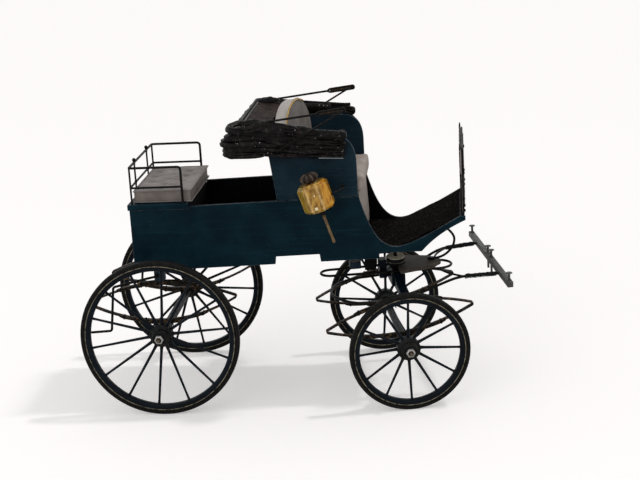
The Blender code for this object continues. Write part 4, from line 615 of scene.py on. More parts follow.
navy = painted("navy_panel_paint", NAVY_DARK, NAVY_LIGHT, EDGE_WEAR_AND_HIGHLIGHT_BLUE, wear=0.39,
               inside=(0.0016, 0.0018, 0.0021))
navy_seat = painted("navy_seat_paint", (0.0056, 0.0165, 0.0260), (0.0118, 0.0290, 0.0425), EDGE_WEAR_AND_HIGHLIGHT_BLUE,
                    wear=0.42)
navy_board = painted("navy_board_paint", NAVY_DARK, NAVY_LIGHT, (0.30, 0.265, 0.215), wear=0.36)
well_black = painted("well_black_paint", (0.0018, 0.0019, 0.0021), (0.0042, 0.0041, 0.0042),
                     (0.03, 0.03, 0.03), roughness=0.7, specular=0.08)
wheel_paint = painted("wheel_navy_paint", (0.0012, 0.0028, 0.0052), (0.0026, 0.0072, 0.0125),
                      (0.085, 0.074, 0.056), roughness=0.34, specular=0.10, wear=0.50)
nave_paint = painted("nave_paint", (0.0018, 0.0026, 0.0028), (0.0055, 0.0070, 0.0070),
                     (0.080, 0.074, 0.058), roughness=0.42, specular=0.12, wear=0.44)
iron = metal("black_iron_rod", (0.0022, 0.0021, 0.0022), (0.0060, 0.0056, 0.0054), (0.034, 0.024, 0.016),
             metallic=0.0, specular=0.10, share=0.58)
axle_iron = metal("axle_iron", (0.0026, 0.0042, 0.0060), (0.0070, 0.0100, 0.0125), (0.045, 0.036, 0.028),
                  metallic=0.0, specular=0.14)
spring_steel = metal("bronzed_spring_steel", (0.0018, 0.0016, 0.0015), (0.0062, 0.0052, 0.0042),
                     (0.17, 0.098, 0.045), roughness=0.5, metallic=0.0, specular=0.12, share=0.50,
                     spots=2.6)
nut_steel = metal("nut_steel", (0.30, 0.29, 0.27), (0.50, 0.48, 0.45), (0.16, 0.12, 0.09), roughness=0.36,
                  metallic=0.7, share=0.6, spots=1.8)
rusty_iron = metal("rusty_iron_web", (0.016, 0.0095, 0.0060), (0.040, 0.025, 0.0155),
                   (0.125, 0.078, 0.045), roughness=0.6, metallic=0.0, specular=0.15, share=0.50)
pale_cord = leather("pale_blue_edge", (0.13, 0.145, 0.155), (0.24, 0.26, 0.27), (0.42, 0.42, 0.41),
                    grain=0.4)
black_wire = metal("black_lamp_wire", (0.0016, 0.0015, 0.0016), (0.0042, 0.0040, 0.0040),
                   (0.016, 0.012, 0.010), metallic=0.0, specular=0.16, share=0.66)
nut_brass = metal("spindle_brass", (0.13, 0.095, 0.060), (0.24, 0.185, 0.120), (0.05, 0.035, 0.02),
                  roughness=0.4, metallic=0.5, share=0.5)
bar_grey = metal("bar_grey_paint", (0.050, 0.050, 0.049), (0.095, 0.094, 0.091), (0.022, 0.020, 0.018),
                 roughness=0.55, metallic=0.1, share=0.6)
# Tyre: tan specks that are partly wear and partly painted highlights dotted over the rubber
tyre_rubber = metal("tyre_rubber", (0.0032, 0.0031, 0.0030), (0.0090, 0.0085, 0.0078),
                    (0.115, 0.092, 0.062), roughness=0.62, metallic=0.0, specular=0.12, share=0.60,
                    spots=0.9)
seat_leather = leather("grey_seat_leather", (0.175, 0.155, 0.146), (0.272, 0.240, 0.226),
                       (0.34, 0.305, 0.275), roughness=0.62, grain=0.5)
# Dark buttons: real buttons, darkened further to paint the shade in the tuft hollows
button_and_tuft_shade = leather("dark_button_leather", (0.024, 0.019, 0.016), (0.055, 0.046, 0.040),
                         (0.12, 0.105, 0.09), roughness=0.6, grain=0.4)
band_leather = leather("grey_band_leather", (0.152, 0.129, 0.114), (0.232, 0.202, 0.180),
                       (0.31, 0.275, 0.24), roughness=0.66, grain=0.5)
fall_leather = leather("grey_fall_leather", (0.32, 0.262, 0.228), (0.435, 0.370, 0.325),
                       (0.50, 0.44, 0.385), grain=0.5)
cushion_band = leather("pale_cushion_band", (0.445, 0.405, 0.375), (0.555, 0.51, 0.475),
                       (0.62, 0.58, 0.54), grain=0.5)
# The back cushion's face is a darker copy of its band's leather: painted shade on a face turned away from
# the light
shaded_cushion_face = leather("grey_cushion_face", (0.125, 0.112, 0.102), (0.185, 0.168, 0.152),
                       (0.24, 0.22, 0.20), grain=0.5)
# Hood leather: the brownish worn patches and the wide dark to light dye spread are partly rubbed wear and
# partly a painted sheen
hood_leather = leather("black_hood_leather", (0.0007, 0.0005, 0.0006), (0.0085, 0.0064, 0.0061),
                       (0.034, 0.026, 0.023), roughness=0.44, specular=0.09, grain=0.6, specks=0.52,
                       crease=6.0, worn_from=0.51)
curtain_leather = leather("brown_curtain_leather", (0.011, 0.0066, 0.0055), (0.040, 0.0270, 0.0230),
                          (0.105, 0.080, 0.070), roughness=0.66, specular=0.06, grain=0.6, crease=5.0)
carpet = leather("black_carpet", (0.0010, 0.0008, 0.0008), (0.0028, 0.0022, 0.0020),
                 (0.040, 0.031, 0.026), roughness=0.95, specular=0.02, grain=0.7, specks=0.44, crease=2.6,
                 worn_from=0.52, speck=(0.20, 0.165, 0.145), speck_size=1.6)
plate_wood = wooden("tongue_wood", (0.040, 0.031, 0.024), (0.082, 0.066, 0.050))
# Raw wood for the cup's top, set far paler than bare wood: painted light on a face in the body's shade
raw_wood_painted_light = wooden("raw_cup_wood_and_painted_light", (0.62, 0.560, 0.420), (0.92, 0.850, 0.680), (0.3, 1.0, 1.0))
stem_wood = wooden("stem_brass_wood", (0.110, 0.068, 0.030), (0.215, 0.145, 0.070), (1.0, 1.0, 0.12))
white_cord = leather("white_piping", (0.45, 0.43, 0.39), (0.60, 0.57, 0.52), (0.66, 0.63, 0.58),
                     grain=0.3)
gold_cord = metal("gold_piping", (0.42, 0.25, 0.06), (0.64, 0.42, 0.13), (0.16, 0.09, 0.03),
                  roughness=0.45, metallic=0.2, share=0.6)
gold_stripe = metal("gold_stripe_paint", (0.16, 0.135, 0.085), (0.34, 0.30, 0.21), (0.012, 0.012, 0.011),
                    roughness=0.5, metallic=0.1, share=0.47, spots=4.0)
pale_strip = painted("pale_bow_strip", (0.15, 0.145, 0.138), (0.22, 0.215, 0.205), (0.05, 0.045, 0.04),
                     wear=0.4)
# The ribs are a lighter copy of the cap's brown: painted highlights on the ridges of the flutes
cap_brown = metal("lamp_cap_brown", (0.016, 0.011, 0.009), (0.045, 0.031, 0.024), (0.10, 0.072, 0.050),
                  roughness=0.55, metallic=0.0, specular=0.15, share=0.6)
highlit_cap_rib = metal("lamp_cap_rib", (0.055, 0.040, 0.031), (0.125, 0.095, 0.074), (0.030, 0.021, 0.016),
                roughness=0.55, metallic=0.0, specular=0.15, share=0.6)


def topped(name, dark, light, top):
    """Painted wood whose upper face was left raw; for shaded pieces the colours are set lighter than the
    wood, as painted light.
    """
    look = Look(name, 0.55, 0.0, 0.15)
    colour = look.blend(look.band(look.noise(6.0, 5.0), 0.35, 0.7), dark, light)
    ragged = look.band(look.noise(2.2, 6.0, 0.7), 0.30, 0.46)
    raw = look.blend(look.band(look.noise(0.9, 5.0, 0.6, (0.2, 1.0, 1.0)), 0.35, 0.65),
                     tuple(0.55 * c for c in top), top)
    up = look.times(look.band(look.facing("Z"), 0.35, 0.75), ragged)
    look.link("Base Color", look.blend(up, colour, raw))
    look.bump(look.noise(0.8, 4.0, 0.6, (0.2, 1.0, 1.0)), 0.14, 0.6)
    return look.made


# The blocks' blue is set lighter than the paint is: painted light on blocks that sit in shade
block_paint = topped("blue_block_raw_top_painted_light", (0.0070, 0.0180, 0.0330), (0.0190, 0.0390, 0.0620), RAW_WOOD)
# The cup's raw top colour is set near white: painted light on the shaded lid
cup_paint = topped("black_cup_wood_raw_top_painted_light", (0.0022, 0.0022, 0.0021), (0.0065, 0.0065, 0.0062),
                   (0.90, 0.82, 0.66))


def amber_glass():
    """Old amber glass: streaked gold facets with pale cloudy edges that are painted highlights.

    The facets turn darker olive toward the rear and brighter orange toward the front, as painted shade and
    light.
    """
    look = Look("amber_lamp_glass", 0.05, 0.0, 0.5)
    streak = look.band(look.noise(3.4, 4.0, 0.55, (1.0, 1.0, 0.30)), 0.40, 0.60)
    tint = look.blend(streak, (0.40, 0.20, 0.028), (0.88, 0.56, 0.115))
    # Place across the lamp from rear to front, for the painted shade behind and the painted light in front
    forward = look.times(look.calc("SUBTRACT", look.axis("X"), LAMP.x), math.cos(LAMP_TILT))
    upward = look.times(look.calc("SUBTRACT", look.axis("Z"), LAMP.z), -math.sin(LAMP_TILT))
    across = look.calc("ADD", forward, upward)
    orange = look.blend(streak, (0.62, 0.27, 0.012), (0.98, 0.52, 0.030))
    tint = look.blend(look.times(look.band(across, 6.4, 8.6), 0.85), tint, orange)
    tint = look.blend(look.times(look.band(across, -6.0, -9.0), 0.65), tint, (0.42, 0.31, 0.040))
    # Pale bands at the facet boundaries: painted highlights
    facet_edge = 5.0
    off_centre = look.calc("ABSOLUTE", look.calc("SUBTRACT", look.calc("ABSOLUTE", across), facet_edge))
    stripe = look.times(look.band(off_centre, 1.6, 0.3),
                        look.band(look.noise(5.0, 3.0), 0.36, 0.56, 0.15, 0.75))
    tint = look.blend(stripe, tint, (1.0, 0.76, 0.34))
    # Pale cloudy bevelled edges: painted highlights, where the glass also lets less light through
    cloudy = look.times(look.band(look.edges(1.9), 0.06, 0.42),
                       look.band(look.noise(3.0, 5.0, 0.6), 0.30, 0.52, 0.45, 1.0))
    pale = look.blend(look.band(look.noise(4.0, 3.0), 0.42, 0.60), (0.84, 0.52, 0.12), (0.98, 0.80, 0.42))
    look.link("Base Color", look.blend(cloudy, tint, pale))
    look.link("Transmission Weight", look.calc("SUBTRACT", 0.50, look.times(cloudy, 0.48)))
    look.fix("IOR", 1.18)
    look.fix("Coat Weight", 0.35)
    look.link("Roughness", look.band(look.noise(2.2, 6.0, 0.7), 0.45, 0.8, 0.03, 0.18))
    look.bump(look.noise(6.0, 2.0), 0.15, 0.3)
    return look.made


def amber_lining():
    """Mottled gold leaf behind the glass, darker in patches and streaked up and down."""
    look = Look("amber_gold_lining", 0.42, 0.0, 0.5)
    streak = look.noise(5.0, 4.0, 0.5, (1.0, 1.0, 0.35))
    colour = look.blend(look.band(streak, 0.40, 0.60), (0.34, 0.185, 0.030), (0.76, 0.50, 0.110))
    patch = look.band(look.noise(3.0, 3.0, 0.5), 0.55, 0.62)
    colour = look.blend(look.times(patch, 0.6), colour, (0.19, 0.105, 0.028))
    # Pale gold along the lining's edges: painted highlights
    painted_edge_highlight = look.band(look.edges(1.8), 0.10, 0.45)
    colour = look.blend(look.times(painted_edge_highlight, 0.9), colour, (0.95, 0.74, 0.36))
    look.link("Base Color", colour)
    look.link("Roughness", look.band(look.noise(1.6, 5.0), 0.3, 0.7, 0.30, 0.5))
    look.bump(look.noise(1.8, 3.0), 0.15, 0.4)
    return look.made


amber = amber_glass()
amber_core = amber_lining()
# Pale square plates on the lamp glass: a painted highlight standing for a reflection
glint = metal("lamp_painted_glint", (0.90, 0.78, 0.48), (1.0, 0.93, 0.72), (0.85, 0.66, 0.34),
              roughness=0.25, metallic=0.0, specular=0.6, share=0.62)


# Wheels

def felloe_profile(radius, half, depth, soft, rim):
    """A closed rim section with rounded inner corners."""
    points = [(rim - half, radius), (rim + half, radius)]
    for sign, turns in ((1, (0, 30, 60, 90)), (-1, (90, 60, 30, 0))):
        for turn in turns:
            angle = math.radians(turn)
            points.append((rim + sign * (half - soft + soft * math.cos(angle)),
                           radius - depth + soft - soft * math.sin(angle)))
    return points


def wheel(word, radius, count, first, place, centre, side, body):
    """Tyre, felloe with its gold line, tapered spokes and a turned nave.

    count is the number of spokes, first the angle of one of them from straight up.
    """
    at = place @ Matrix.Translation(centre)
    rim = side * DISH
    inner = radius - TYRE_THICKNESS
    half = TYRE_WIDTH / 2
    crown = 1.7
    bm = bmesh.new()
    outer = []
    for turn in range(0, 181, 15):
        angle = math.radians(turn)
        flat = math.copysign(abs(math.cos(angle)) ** 0.45, math.cos(angle))
        rise = crown * math.sin(angle) ** 0.7 if turn % 180 else 0.0
        outer.append((rim + half * flat, radius - crown + rise))
    profile = [(rim - half, inner), (rim - half + 0.35, inner - 0.1), (rim + half - 0.35, inner - 0.1),
               (rim + half, inner), (rim + half, inner + 0.7), (rim + half - 0.3, inner + 0.95),
               (rim + half, inner + 1.2)]
    profile += outer
    profile += [(rim - half, inner + 1.2), (rim - half + 0.3, inner + 0.95), (rim - half, inner + 0.7)]
    lathe(bm, profile, RIM_STEPS, closed=True)
    piece(word + "_tyre_band", bm, tyre_rubber, body, at, [word + "_tyre"], 40)

    bm = bmesh.new()
    felloe_outer = inner - 0.15
    lathe(bm, felloe_profile(felloe_outer, FELLOE_WIDTH / 2, FELLOE_DEPTH, 1.5, rim), RIM_STEPS,
          closed=True)
    root = NAVE_FLANGE - 1.5
    tip = felloe_outer - FELLOE_DEPTH + 1.2
    # Each station of a spoke: share of its length, half width round the wheel, half depth
    stations = ((0.0, 1.55, 1.9), (0.05, 1.55, 1.8), (0.12, 1.32, 1.38), (0.45, 1.2, 1.2),
                (0.88, 1.05, 1.05), (0.94, 1.15, 1.15), (1.0, 1.35, 1.35))
    for k in range(count):
        angle = math.pi / 2 + first + 2.0 * math.pi * k / count
        out = Vector((math.cos(angle), 0.0, math.sin(angle)))
        across = Vector((-out.z, 0.0, out.x))
        rings = []
        for share, wide, deep in stations:
            centre_point = out * (root + share * (tip - root)) + Vector((0.0, rim * share, 0.0))
            rings.append([centre_point + across * u * wide + Vector((0.0, v * deep, 0.0))
                          for u, v in round_section(1.0, 10)])
        skin(bm, rings)
    piece(word + "_felloe_spokes", bm, wheel_paint, body, at, [word + "_wheel"], 40)

    bm = bmesh.new()
    for face in (-1, 1):
        y = rim + face * (FELLOE_WIDTH / 2 + 0.02)
        proud = y + face * 0.07
        lathe(bm, [(y, felloe_outer - 0.1), (y, felloe_outer - 0.75), (proud, felloe_outer - 0.68),
                   (proud, felloe_outer - 0.17)], RIM_STEPS, closed=True)
    piece(word + "_gold_line", bm, gold_stripe, body, at)

    bm = bmesh.new()
    reach = NAVE_REACH
    bore = 2.3
    profile = [(-reach, bore), (-reach, NAVE_END - 0.5), (-reach + 0.5, NAVE_END),
               (-reach + 2.2, NAVE_END + 0.2), (-reach + 2.3, NAVE_END + 0.65),
               (-reach + 3.6, NAVE_END + 0.75), (-reach + 3.7, NAVE_END + 0.4), (-4.2, NAVE_BODY),
               (-3.3, NAVE_FLANGE - 0.5), (-2.9, NAVE_FLANGE), (2.9, NAVE_FLANGE),
               (3.3, NAVE_FLANGE - 0.5), (4.2, NAVE_BODY), (reach - 3.7, NAVE_END + 0.5),
               (reach - 3.6, NAVE_END + 0.9), (reach - 1.9, NAVE_END + 0.8),
               (reach - 1.8, NAVE_END + 0.3), (reach - 0.5, NAVE_END), (reach, NAVE_END - 0.6),
               (reach, bore)]
    lathe(bm, [(side * along, size) for along, size in profile], 56, closed=True)
    for k in range(count // 2):
        angle = math.pi / 2 + first + 2.0 * math.pi * (k + 0.25) / (count / 2)
        spot = Vector((math.cos(angle), 0.0, math.sin(angle))) * (NAVE_FLANGE - 1.4)
        lathe(bm, [(side * 2.8, 0.95), (side * 3.5, 0.95), (side * 3.9, 0.6), (side * 3.95, 0.0)], 8,
              at=spot)
    piece(word + "_nave", bm, nave_paint, body, at, angle=30)


def axle(word, beam_width, beam_height, place, centre, body):
    """A forged beam, round spindles, and a steel nut with a brass spindle end."""
    at = place @ Matrix.Translation(centre)
    bm = bmesh.new()
    # The near half of the beam: place along it and share of its full section
    stations = [(-SHOULDER, 0.7), (-SHOULDER + 1.5, 1.0), (-SHOULDER + 6.0, 1.0), (-SHOULDER + 9.0, 0.86),
                (-30.0, 0.86)]
    stations += [(-y, share) for y, share in reversed(stations)]
    sweep(bm, [(0.0, y, 0.0) for y, share in stations], bar_section(beam_width, beam_height, 1.0),
          scale=[(share, share) for y, share in stations])
    for side in (-1, 1):
        lathe(bm, [(side * (SHOULDER - 2.0), 3.4), (side * (SHOULDER - 0.4), 3.4), (side * SHOULDER, 3.0),
                   (side * SHOULDER, 2.2), (side * (NUT_FACE + 1.6), 2.2)], 32)
    piece(word + "_beam", bm, axle_iron, body, at, [word], 40)
    steel = bmesh.new()
    brass = bmesh.new()
    top = NUT_FACE + NUT_THICKNESS
    for side in (-1, 1):
        lathe(steel, [(side * (NUT_FACE - 0.1), NUT_RADIUS * 0.92),
                      (side * (NUT_FACE + 0.25), NUT_RADIUS), (side * (top - 0.45), NUT_RADIUS),
                      (side * top, NUT_RADIUS * 0.84), (side * top, 2.6), (side * (NUT_FACE + 0.4), 2.5),
                      (side * (NUT_FACE - 0.1), 2.5)], 6, closed=True)
        lathe(brass, [(side * (top - 2.0), 1.15), (side * (top + 1.5), 1.15), (side * (top + 2.0), 0.95),
                      (side * (top + 2.15), 0.5), (side * (top + 2.15), 0.0)], 24)
    piece(word + "_hub_nuts", steel, nut_steel, body, at, angle=25)
    piece(word + "_spindle_ends", brass, nut_brass, body, at, angle=35)


rear_axle_at = Vector((0.0, 0.0, REAR_RADIUS))
front_axle_at = Vector((FRONT_AXLE_X, 0.0, FRONT_RADIUS))
axle("rear_axle", REAR_BEAM, BEAM_HEIGHT, VEHICLE, rear_axle_at, "body")
axle("front_axle", FRONT_BEAM, BEAM_HEIGHT, FORE, front_axle_at, "fore_carriage")
# The turns, in degrees, bring the spokes to where the photograph shows them
for side, hand, rear_turn, front_turn in ((-1, "right", -5.7, 0.0), (1, "left", 7.1, -3.0)):
    out = Vector((0.0, side * HALF_TRACK, 0.0))
    wheel("rear_" + hand, REAR_RADIUS, REAR_SPOKES, math.radians(rear_turn), VEHICLE, rear_axle_at + out,
          side, "rear_wheel_" + hand)
    wheel("front_" + hand, FRONT_RADIUS, FRONT_SPOKES, math.radians(front_turn), FORE,
          front_axle_at + out, side, "front_wheel_" + hand)


# Springs

def spring(word, hand, length, rise, drop, pitch, centre, beam, top_block, place, body):
    """A full elliptic spring: one bent main loop, shorter leaves, wire clips and U bolts.

    length is half its span, rise and drop its height above and below its middle. beam and
    top_block each give the width and height that a U bolt reaches round, and the share of
    the spring's own shift along the carriage that the bolt takes back.
    """
    side = -1 if hand == "right" else 1
    at = (place @ Matrix.Translation((centre[0], side * SPRING_TRACK, centre[1]))
          @ Matrix.Rotation(-math.radians(pitch), 4, "Y"))
    stack = LEAF + 2.0 * LEAF_STEP
    end = 1.5
    span = length - end - LEAF / 2
    heights = {1: rise - stack + LEAF / 2, -1: drop - stack + LEAF / 2}

    def leaf(sign, u, lift=0.0):
        return Vector((u * span, 0.0, sign * (end + (heights[sign] - end) * (1.0 - u * u) + lift)))

    loop = [leaf(1, u / 20) for u in range(-20, 21)]
    loop += [Vector((span + end * math.cos(a), 0.0, end * math.sin(a)))
             for a in (math.radians(d) for d in (58, 29, 0, -29, -58))]
    loop += [leaf(-1, -u / 20) for u in range(-20, 21)]
    loop += [Vector((-span + end * math.cos(a), 0.0, end * math.sin(a)))
             for a in (math.radians(d) for d in (238, 209, 180, 151, 122))]
    section = bar_section(LEAF - 0.08, SPRING_WIDTH, 0.35)
    bm = bmesh.new()
    sweep(bm, loop, section, up=(0, 1, 0), closed=True)
    for sign in (1, -1):
        for level, reach in ((1, 0.62), (2, 0.31)):
            strip = [leaf(sign, reach * k / 12, level * LEAF_STEP) for k in range(-12, 13)]
            thin = [(1.0, 1.0)] * len(strip)
            thin[0] = thin[-1] = (0.45, 0.55)
            thin[1] = thin[-2] = (0.95, 0.96)
            sweep(bm, strip, section, up=(0, 1, 0), scale=thin)
    piece(f"{word}_spring_{hand}_leaves", bm, spring_steel, body, at,
          [f"{word}_spring_{hand}"], 40)

    bm = bmesh.new()
    wide = SPRING_WIDTH / 2 + 0.35

    def frame_round(x, low, high, corner, radius):
        """A closed wire frame round the leaves."""
        corners = [(x, 0.0, low), (x, -wide, low), (x, -wide, high), (x, wide, high), (x, wide, low),
                   (x, 0.0, low)]
        wire(bm, rounded(corners, corner, 3)[:-1], radius, 8, closed=True, up=(1, 0, 0))

    for sign in (1, -1):
        for u, level in ((-0.55, 1), (0.55, 1), (-0.26, 2), (0.26, 2)):
            for turn in (-0.35, 0.35):
                x = u * span + turn
                share = x / span
                low = leaf(sign, share).z - sign * (LEAF / 2 + 0.1)
                high = leaf(sign, share, level * LEAF_STEP).z + sign * (LEAF / 2 + 0.15)
                frame_round(x, low, high, 0.5, 0.33)
        near = heights[sign] - LEAF / 2 - 0.15
        width, height, shift = top_block if sign > 0 else beam
        far = near + stack + 0.2 + height
        for turn in (-1, 1):
            x = turn * (width / 2 + 0.5) - centre[0] * shift
            frame_round(x, sign * near, sign * far, 0.6, 0.42)
    piece(f"{word}_spring_{hand}_clips", bm, iron, body, at, angle=50)


for hand in ("right", "left"):
    spring("rear", hand, length=67.0, rise=18.0, drop=22.0, pitch=1.5, centre=(-2.1, 94.99),
           beam=(REAR_BEAM, 5.6, 1.0), top_block=(3.0, 1.2, 0.0), place=VEHICLE, body="body")
    spring("front", hand, length=65.8, rise=17.8, drop=17.2, pitch=6.7, centre=(-4.7, 73.19),
           beam=(FRONT_BEAM, 5.6, 0.6), top_block=(5.0, 3.4, 0.0), place=FORE, body="fore_carriage")
    dress("spring_block_" + hand, block_paint, 0.5)


# Body shell

def cubic(p0, p1, p2, p3, steps):
    """Points on a cubic curve, without its first point."""
    points = []
    for k in range(1, steps + 1):
        t = k / steps
        weights = ((1 - t) ** 3, 3 * t * (1 - t) ** 2, 3 * t * t * (1 - t), t ** 3)
        points.append(tuple(sum(w * p[c] for w, p in zip(weights, (p0, p1, p2, p3))) for c in (0, 1)))
    return points


def sill(x):
    """Height of the body's lower edge."""
    return REAR_BOTTOM + BODY_SLOPE * (x - REAR_X)


def gunwale(x):
    """Height of the body's upper edge."""
    return REAR_TOP + BODY_SLOPE * (x - REAR_X)


SEAT_FOOT = gunwale(SEAT_SIDE_FRONT) + GAP
PLANK_TOP = SEAT_FOOT + 2.4


def seat_rear(z):
    """The raked rear edge of a seat side."""
    return SEAT_SIDE_REAR - 0.1232 * (z - gunwale(SEAT_SIDE_REAR))


def side_outline():
    """A body side: level behind, swept down to the foot floor and up to the toe."""
    ledge_x = 28.7
    ledge_z = 177.7
    belly_z = 133.5
    belly_rear = 192.0
    notch_rear, notch_front, notch_height, notch_slant = 101.4, 141.2, 6.8, 0.8
    start = (176.6, gunwale(176.6))
    low = (207.0, 138.5)
    toe = (TOE_X, TOE_Z)
    drop = start[1] - low[1]
    reach = low[0] - start[0]
    outline = [(REAR_X, sill(REAR_X)), (REAR_X, ledge_z), (ledge_x, ledge_z), (ledge_x, gunwale(ledge_x)),
               start]
    outline += cubic(start, (start[0] + 0.25 * reach, start[1] - 0.62 * drop),
                     (low[0] - 0.49 * reach, low[1]), low, 28)
    reach = toe[0] - low[0]
    outline += cubic(low, (low[0] + 0.2 * reach, low[1]), (toe[0] - 0.41 * reach, toe[1] - 0.23 * reach),
                     toe, 28)
    tip = (TOE_X + 4.1, TOE_Z - 4.0)
    root = (228.7, belly_z)
    bow = (root[0] + 0.39 * (tip[0] - root[0]), root[1] + 0.62 * (tip[1] - root[1]))
    outline += [(tip[0], TOE_Z - 0.4)]
    outline += [tuple(tip[c] * (1 - t) ** 2 + bow[c] * 2 * t * (1 - t) + root[c] * t * t for c in (0, 1))
                for t in (k / 16 for k in range(17))]
    outline += [(belly_rear, belly_z), (belly_rear, sill(belly_rear)), (notch_front, sill(notch_front)),
                (notch_front - notch_slant, sill(notch_front) + notch_height),
                (notch_rear + notch_slant, sill(notch_rear) + notch_height),
                (notch_rear, sill(notch_rear))]
    return outline


def seat_side_outline():
    """A front seat side with a raked rear edge and a round front shoulder."""
    corner = 18.0
    top_start = (SEAT_SIDE_FRONT - corner, SEAT_SIDE_TOP)
    side_start = (SEAT_SIDE_FRONT, SEAT_SIDE_TOP - 1.3 * corner)
    outline = [(SEAT_SIDE_REAR, gunwale(SEAT_SIDE_REAR) + GAP), (SEAT_SIDE_FRONT, SEAT_FOOT), side_start]
    outline += cubic(side_start, (SEAT_SIDE_FRONT, SEAT_SIDE_TOP - 0.45 * corner),
                     (SEAT_SIDE_FRONT - 0.35 * corner, SEAT_SIDE_TOP), top_start, 22)
    outline.append((seat_rear(SEAT_SIDE_TOP), SEAT_SIDE_TOP))
    return outline


for side, hand in ((-1, "right"), (1, "left")):
    bm = bmesh.new()
    slab(bm, side_outline(), side * INNER_HALF, side * HALF_WIDTH, edge=0.45)
    piece("panel_" + hand, bm, navy, "body", stands_for=["side_panel_" + hand],
          angle=20)
    bm = bmesh.new()
    slab(bm, seat_side_outline(), side * INNER_HALF, side * HALF_WIDTH, edge=0.55)
    piece("seat_end_" + hand, bm, navy_seat, "body", stands_for=["seat_side_" + hand],
          angle=20)

for node, look, edge in (("rear_panel", navy_board, 0.4), ("rear_seat_board", navy_board, 0.55),
                         ("body_floor", well_black, 0.3), ("footwell_board", well_black, 0.3),
                         ("front_seat_board", navy_seat, 0.4), ("front_transom", well_black, 0.5),
                         ("kingpin", iron, 0.0), ("front_bed", wheel_paint, 0.5),
                         ("turntable_plate", plate_wood, 0.5), ("clamp_block", block_paint, 0.7)):
    dress(node, look, edge)


# Rear seat rail

def rear_rail():
    """The iron guard rail, with turned spindles and ball finials behind."""
    radius = 1.08
    half = 49.7
    foot = SEAT_BOARD_TOP + GAP
    top = SEAT_BOARD_TOP + 32.3
    low = SEAT_BOARD_TOP + 14.7
    front = 24.4
    rear = -20.8
    bm = bmesh.new()
    wire(bm, rounded([(front, -half, foot), (front, -half, top), (rear, -half, top), (rear, half, top),
                      (front, half, top), (front, half, foot)], 3.0, 8), radius, up=(0, 1, 0))
    wire(bm, rounded([(front, -half, low), (rear, -half, low), (rear, half, low), (front, half, low)],
                     2.0, 6), 0.9 * radius)
    for side in (-1, 1):
        wire(bm, [(rear + 0.2, side * (half - 1.0), foot), (rear + 0.2, side * (half - 1.0), top)],
             0.8 * radius, up=(0, 1, 0))
        lathe(bm, lifted(foot, [(0.0, 1.5), (0.7, 1.5), (1.1, 1.1), (1.2, 0.5)]), 20, "Z",
              (front, side * half, 0.0))
        ball(bm, (front, side * half, low), 1.15)
        profile = lifted(foot, [(0.0, 0.0), (0.0, 1.4), (0.6, 1.4), (1.0, 0.82)])
        profile += lifted(low, [(-1.4, 0.80), (-0.9, 1.15), (0.0, 1.3), (0.9, 1.15), (1.4, 0.80)])
        profile += lifted(top, [(-2.2, 0.80), (-1.6, 0.95), (-0.9, 1.1), (0.9, 1.1), (1.2, 0.8)])
        finial = 1.7
        centre = top + radius + 0.7 * finial
        profile += [(centre - finial * math.cos(a), finial * math.sin(a)) for a in
                    (math.radians(d) for d in (30, 50, 70, 90, 110, 130, 150, 168))]
        spindle_y = side * 26.0
        lathe(bm, profile, 20, "Z", (rear, spindle_y, 0.0))
    piece("seat_guard", bm, iron, "body", stands_for=["rear_rail"], angle=45)


rear_rail()


# Steps

def steps():
    """A bent wire step each side, bolted to the outer face of the spring block."""
    block_rear = -2.1 - 4.5
    bolt_x = block_rear + 3.0
    bolt_y = SPRING_TRACK + 3.8 + GAP
    bolt_z = sill(block_rear) - 0.6 - 3.2
    outer_y = 64.0
    tread = bolt_z - 6.0 - 40.0
    for side, hand in ((-1, "right"), (1, "left")):
        path = rounded([(bolt_x, side * bolt_y, bolt_z), (bolt_x, side * (bolt_y + 4.0), bolt_z),
                        (block_rear - 6.0, side * (bolt_y + 8.0), bolt_z - 0.8),
                        (block_rear - 34.0, side * outer_y, bolt_z - 6.0),
                        (block_rear - 39.0, side * outer_y, tread),
                        (block_rear - 57.0, side * outer_y, tread - 1.0)], 2.5, 8)
        bm = bmesh.new()
        wire(bm, path, 1.1, up=(0.2, 1, 0))
        nut = lifted(bolt_y, [(-0.2, 2.0), (0.5, 2.0), (0.7, 1.7), (0.75, 0.8)])
        lathe(bm, [(side * y, size) for y, size in nut], 6, at=(bolt_x, 0.0, bolt_z))
        piece("step_iron_" + hand, bm, iron, "body", stands_for=["rear_step_" + hand],
              angle=45)


steps()


# Fore-carriage

def binding(bm, start, end, radius, pitch, seed):
    """Tight, uneven turns of wire round a rod, with a few lumps of twisted ends."""
    draw = random.Random(seed)
    start, end = Vector(start), Vector(end)
    along = (end - start).normalized()
    side = Vector((0, 0, 1)).cross(along).normalized()
    top = along.cross(side)
    length = (end - start).length
    steps = 12
    count = int(length / pitch) * steps
    lumps = 5
    path = []
    for k in range(count + 1):
        angle = 2.0 * math.pi * k / steps
        share = k / count
        reach = radius * (1.0 + 0.28 * ripple(share * length * 0.35, seed, 2.0) + 0.06 * draw.random())
        spot = start.lerp(end, share) + side * reach * math.cos(angle)
        path.append(spot + top * reach * math.sin(angle))
    wire(bm, path, 0.5, 6, up=along)
    for k in range(lumps):
        spot = start.lerp(end, (k + 0.25 + 0.5 * draw.random()) / lumps)
        lean = side * draw.uniform(-0.7, 0.7) + top * draw.uniform(-0.6, 0.9)
        ball(bm, spot + lean, draw.uniform(1.9, 2.6), (1.2, 0.8, 0.8), 8, 12)


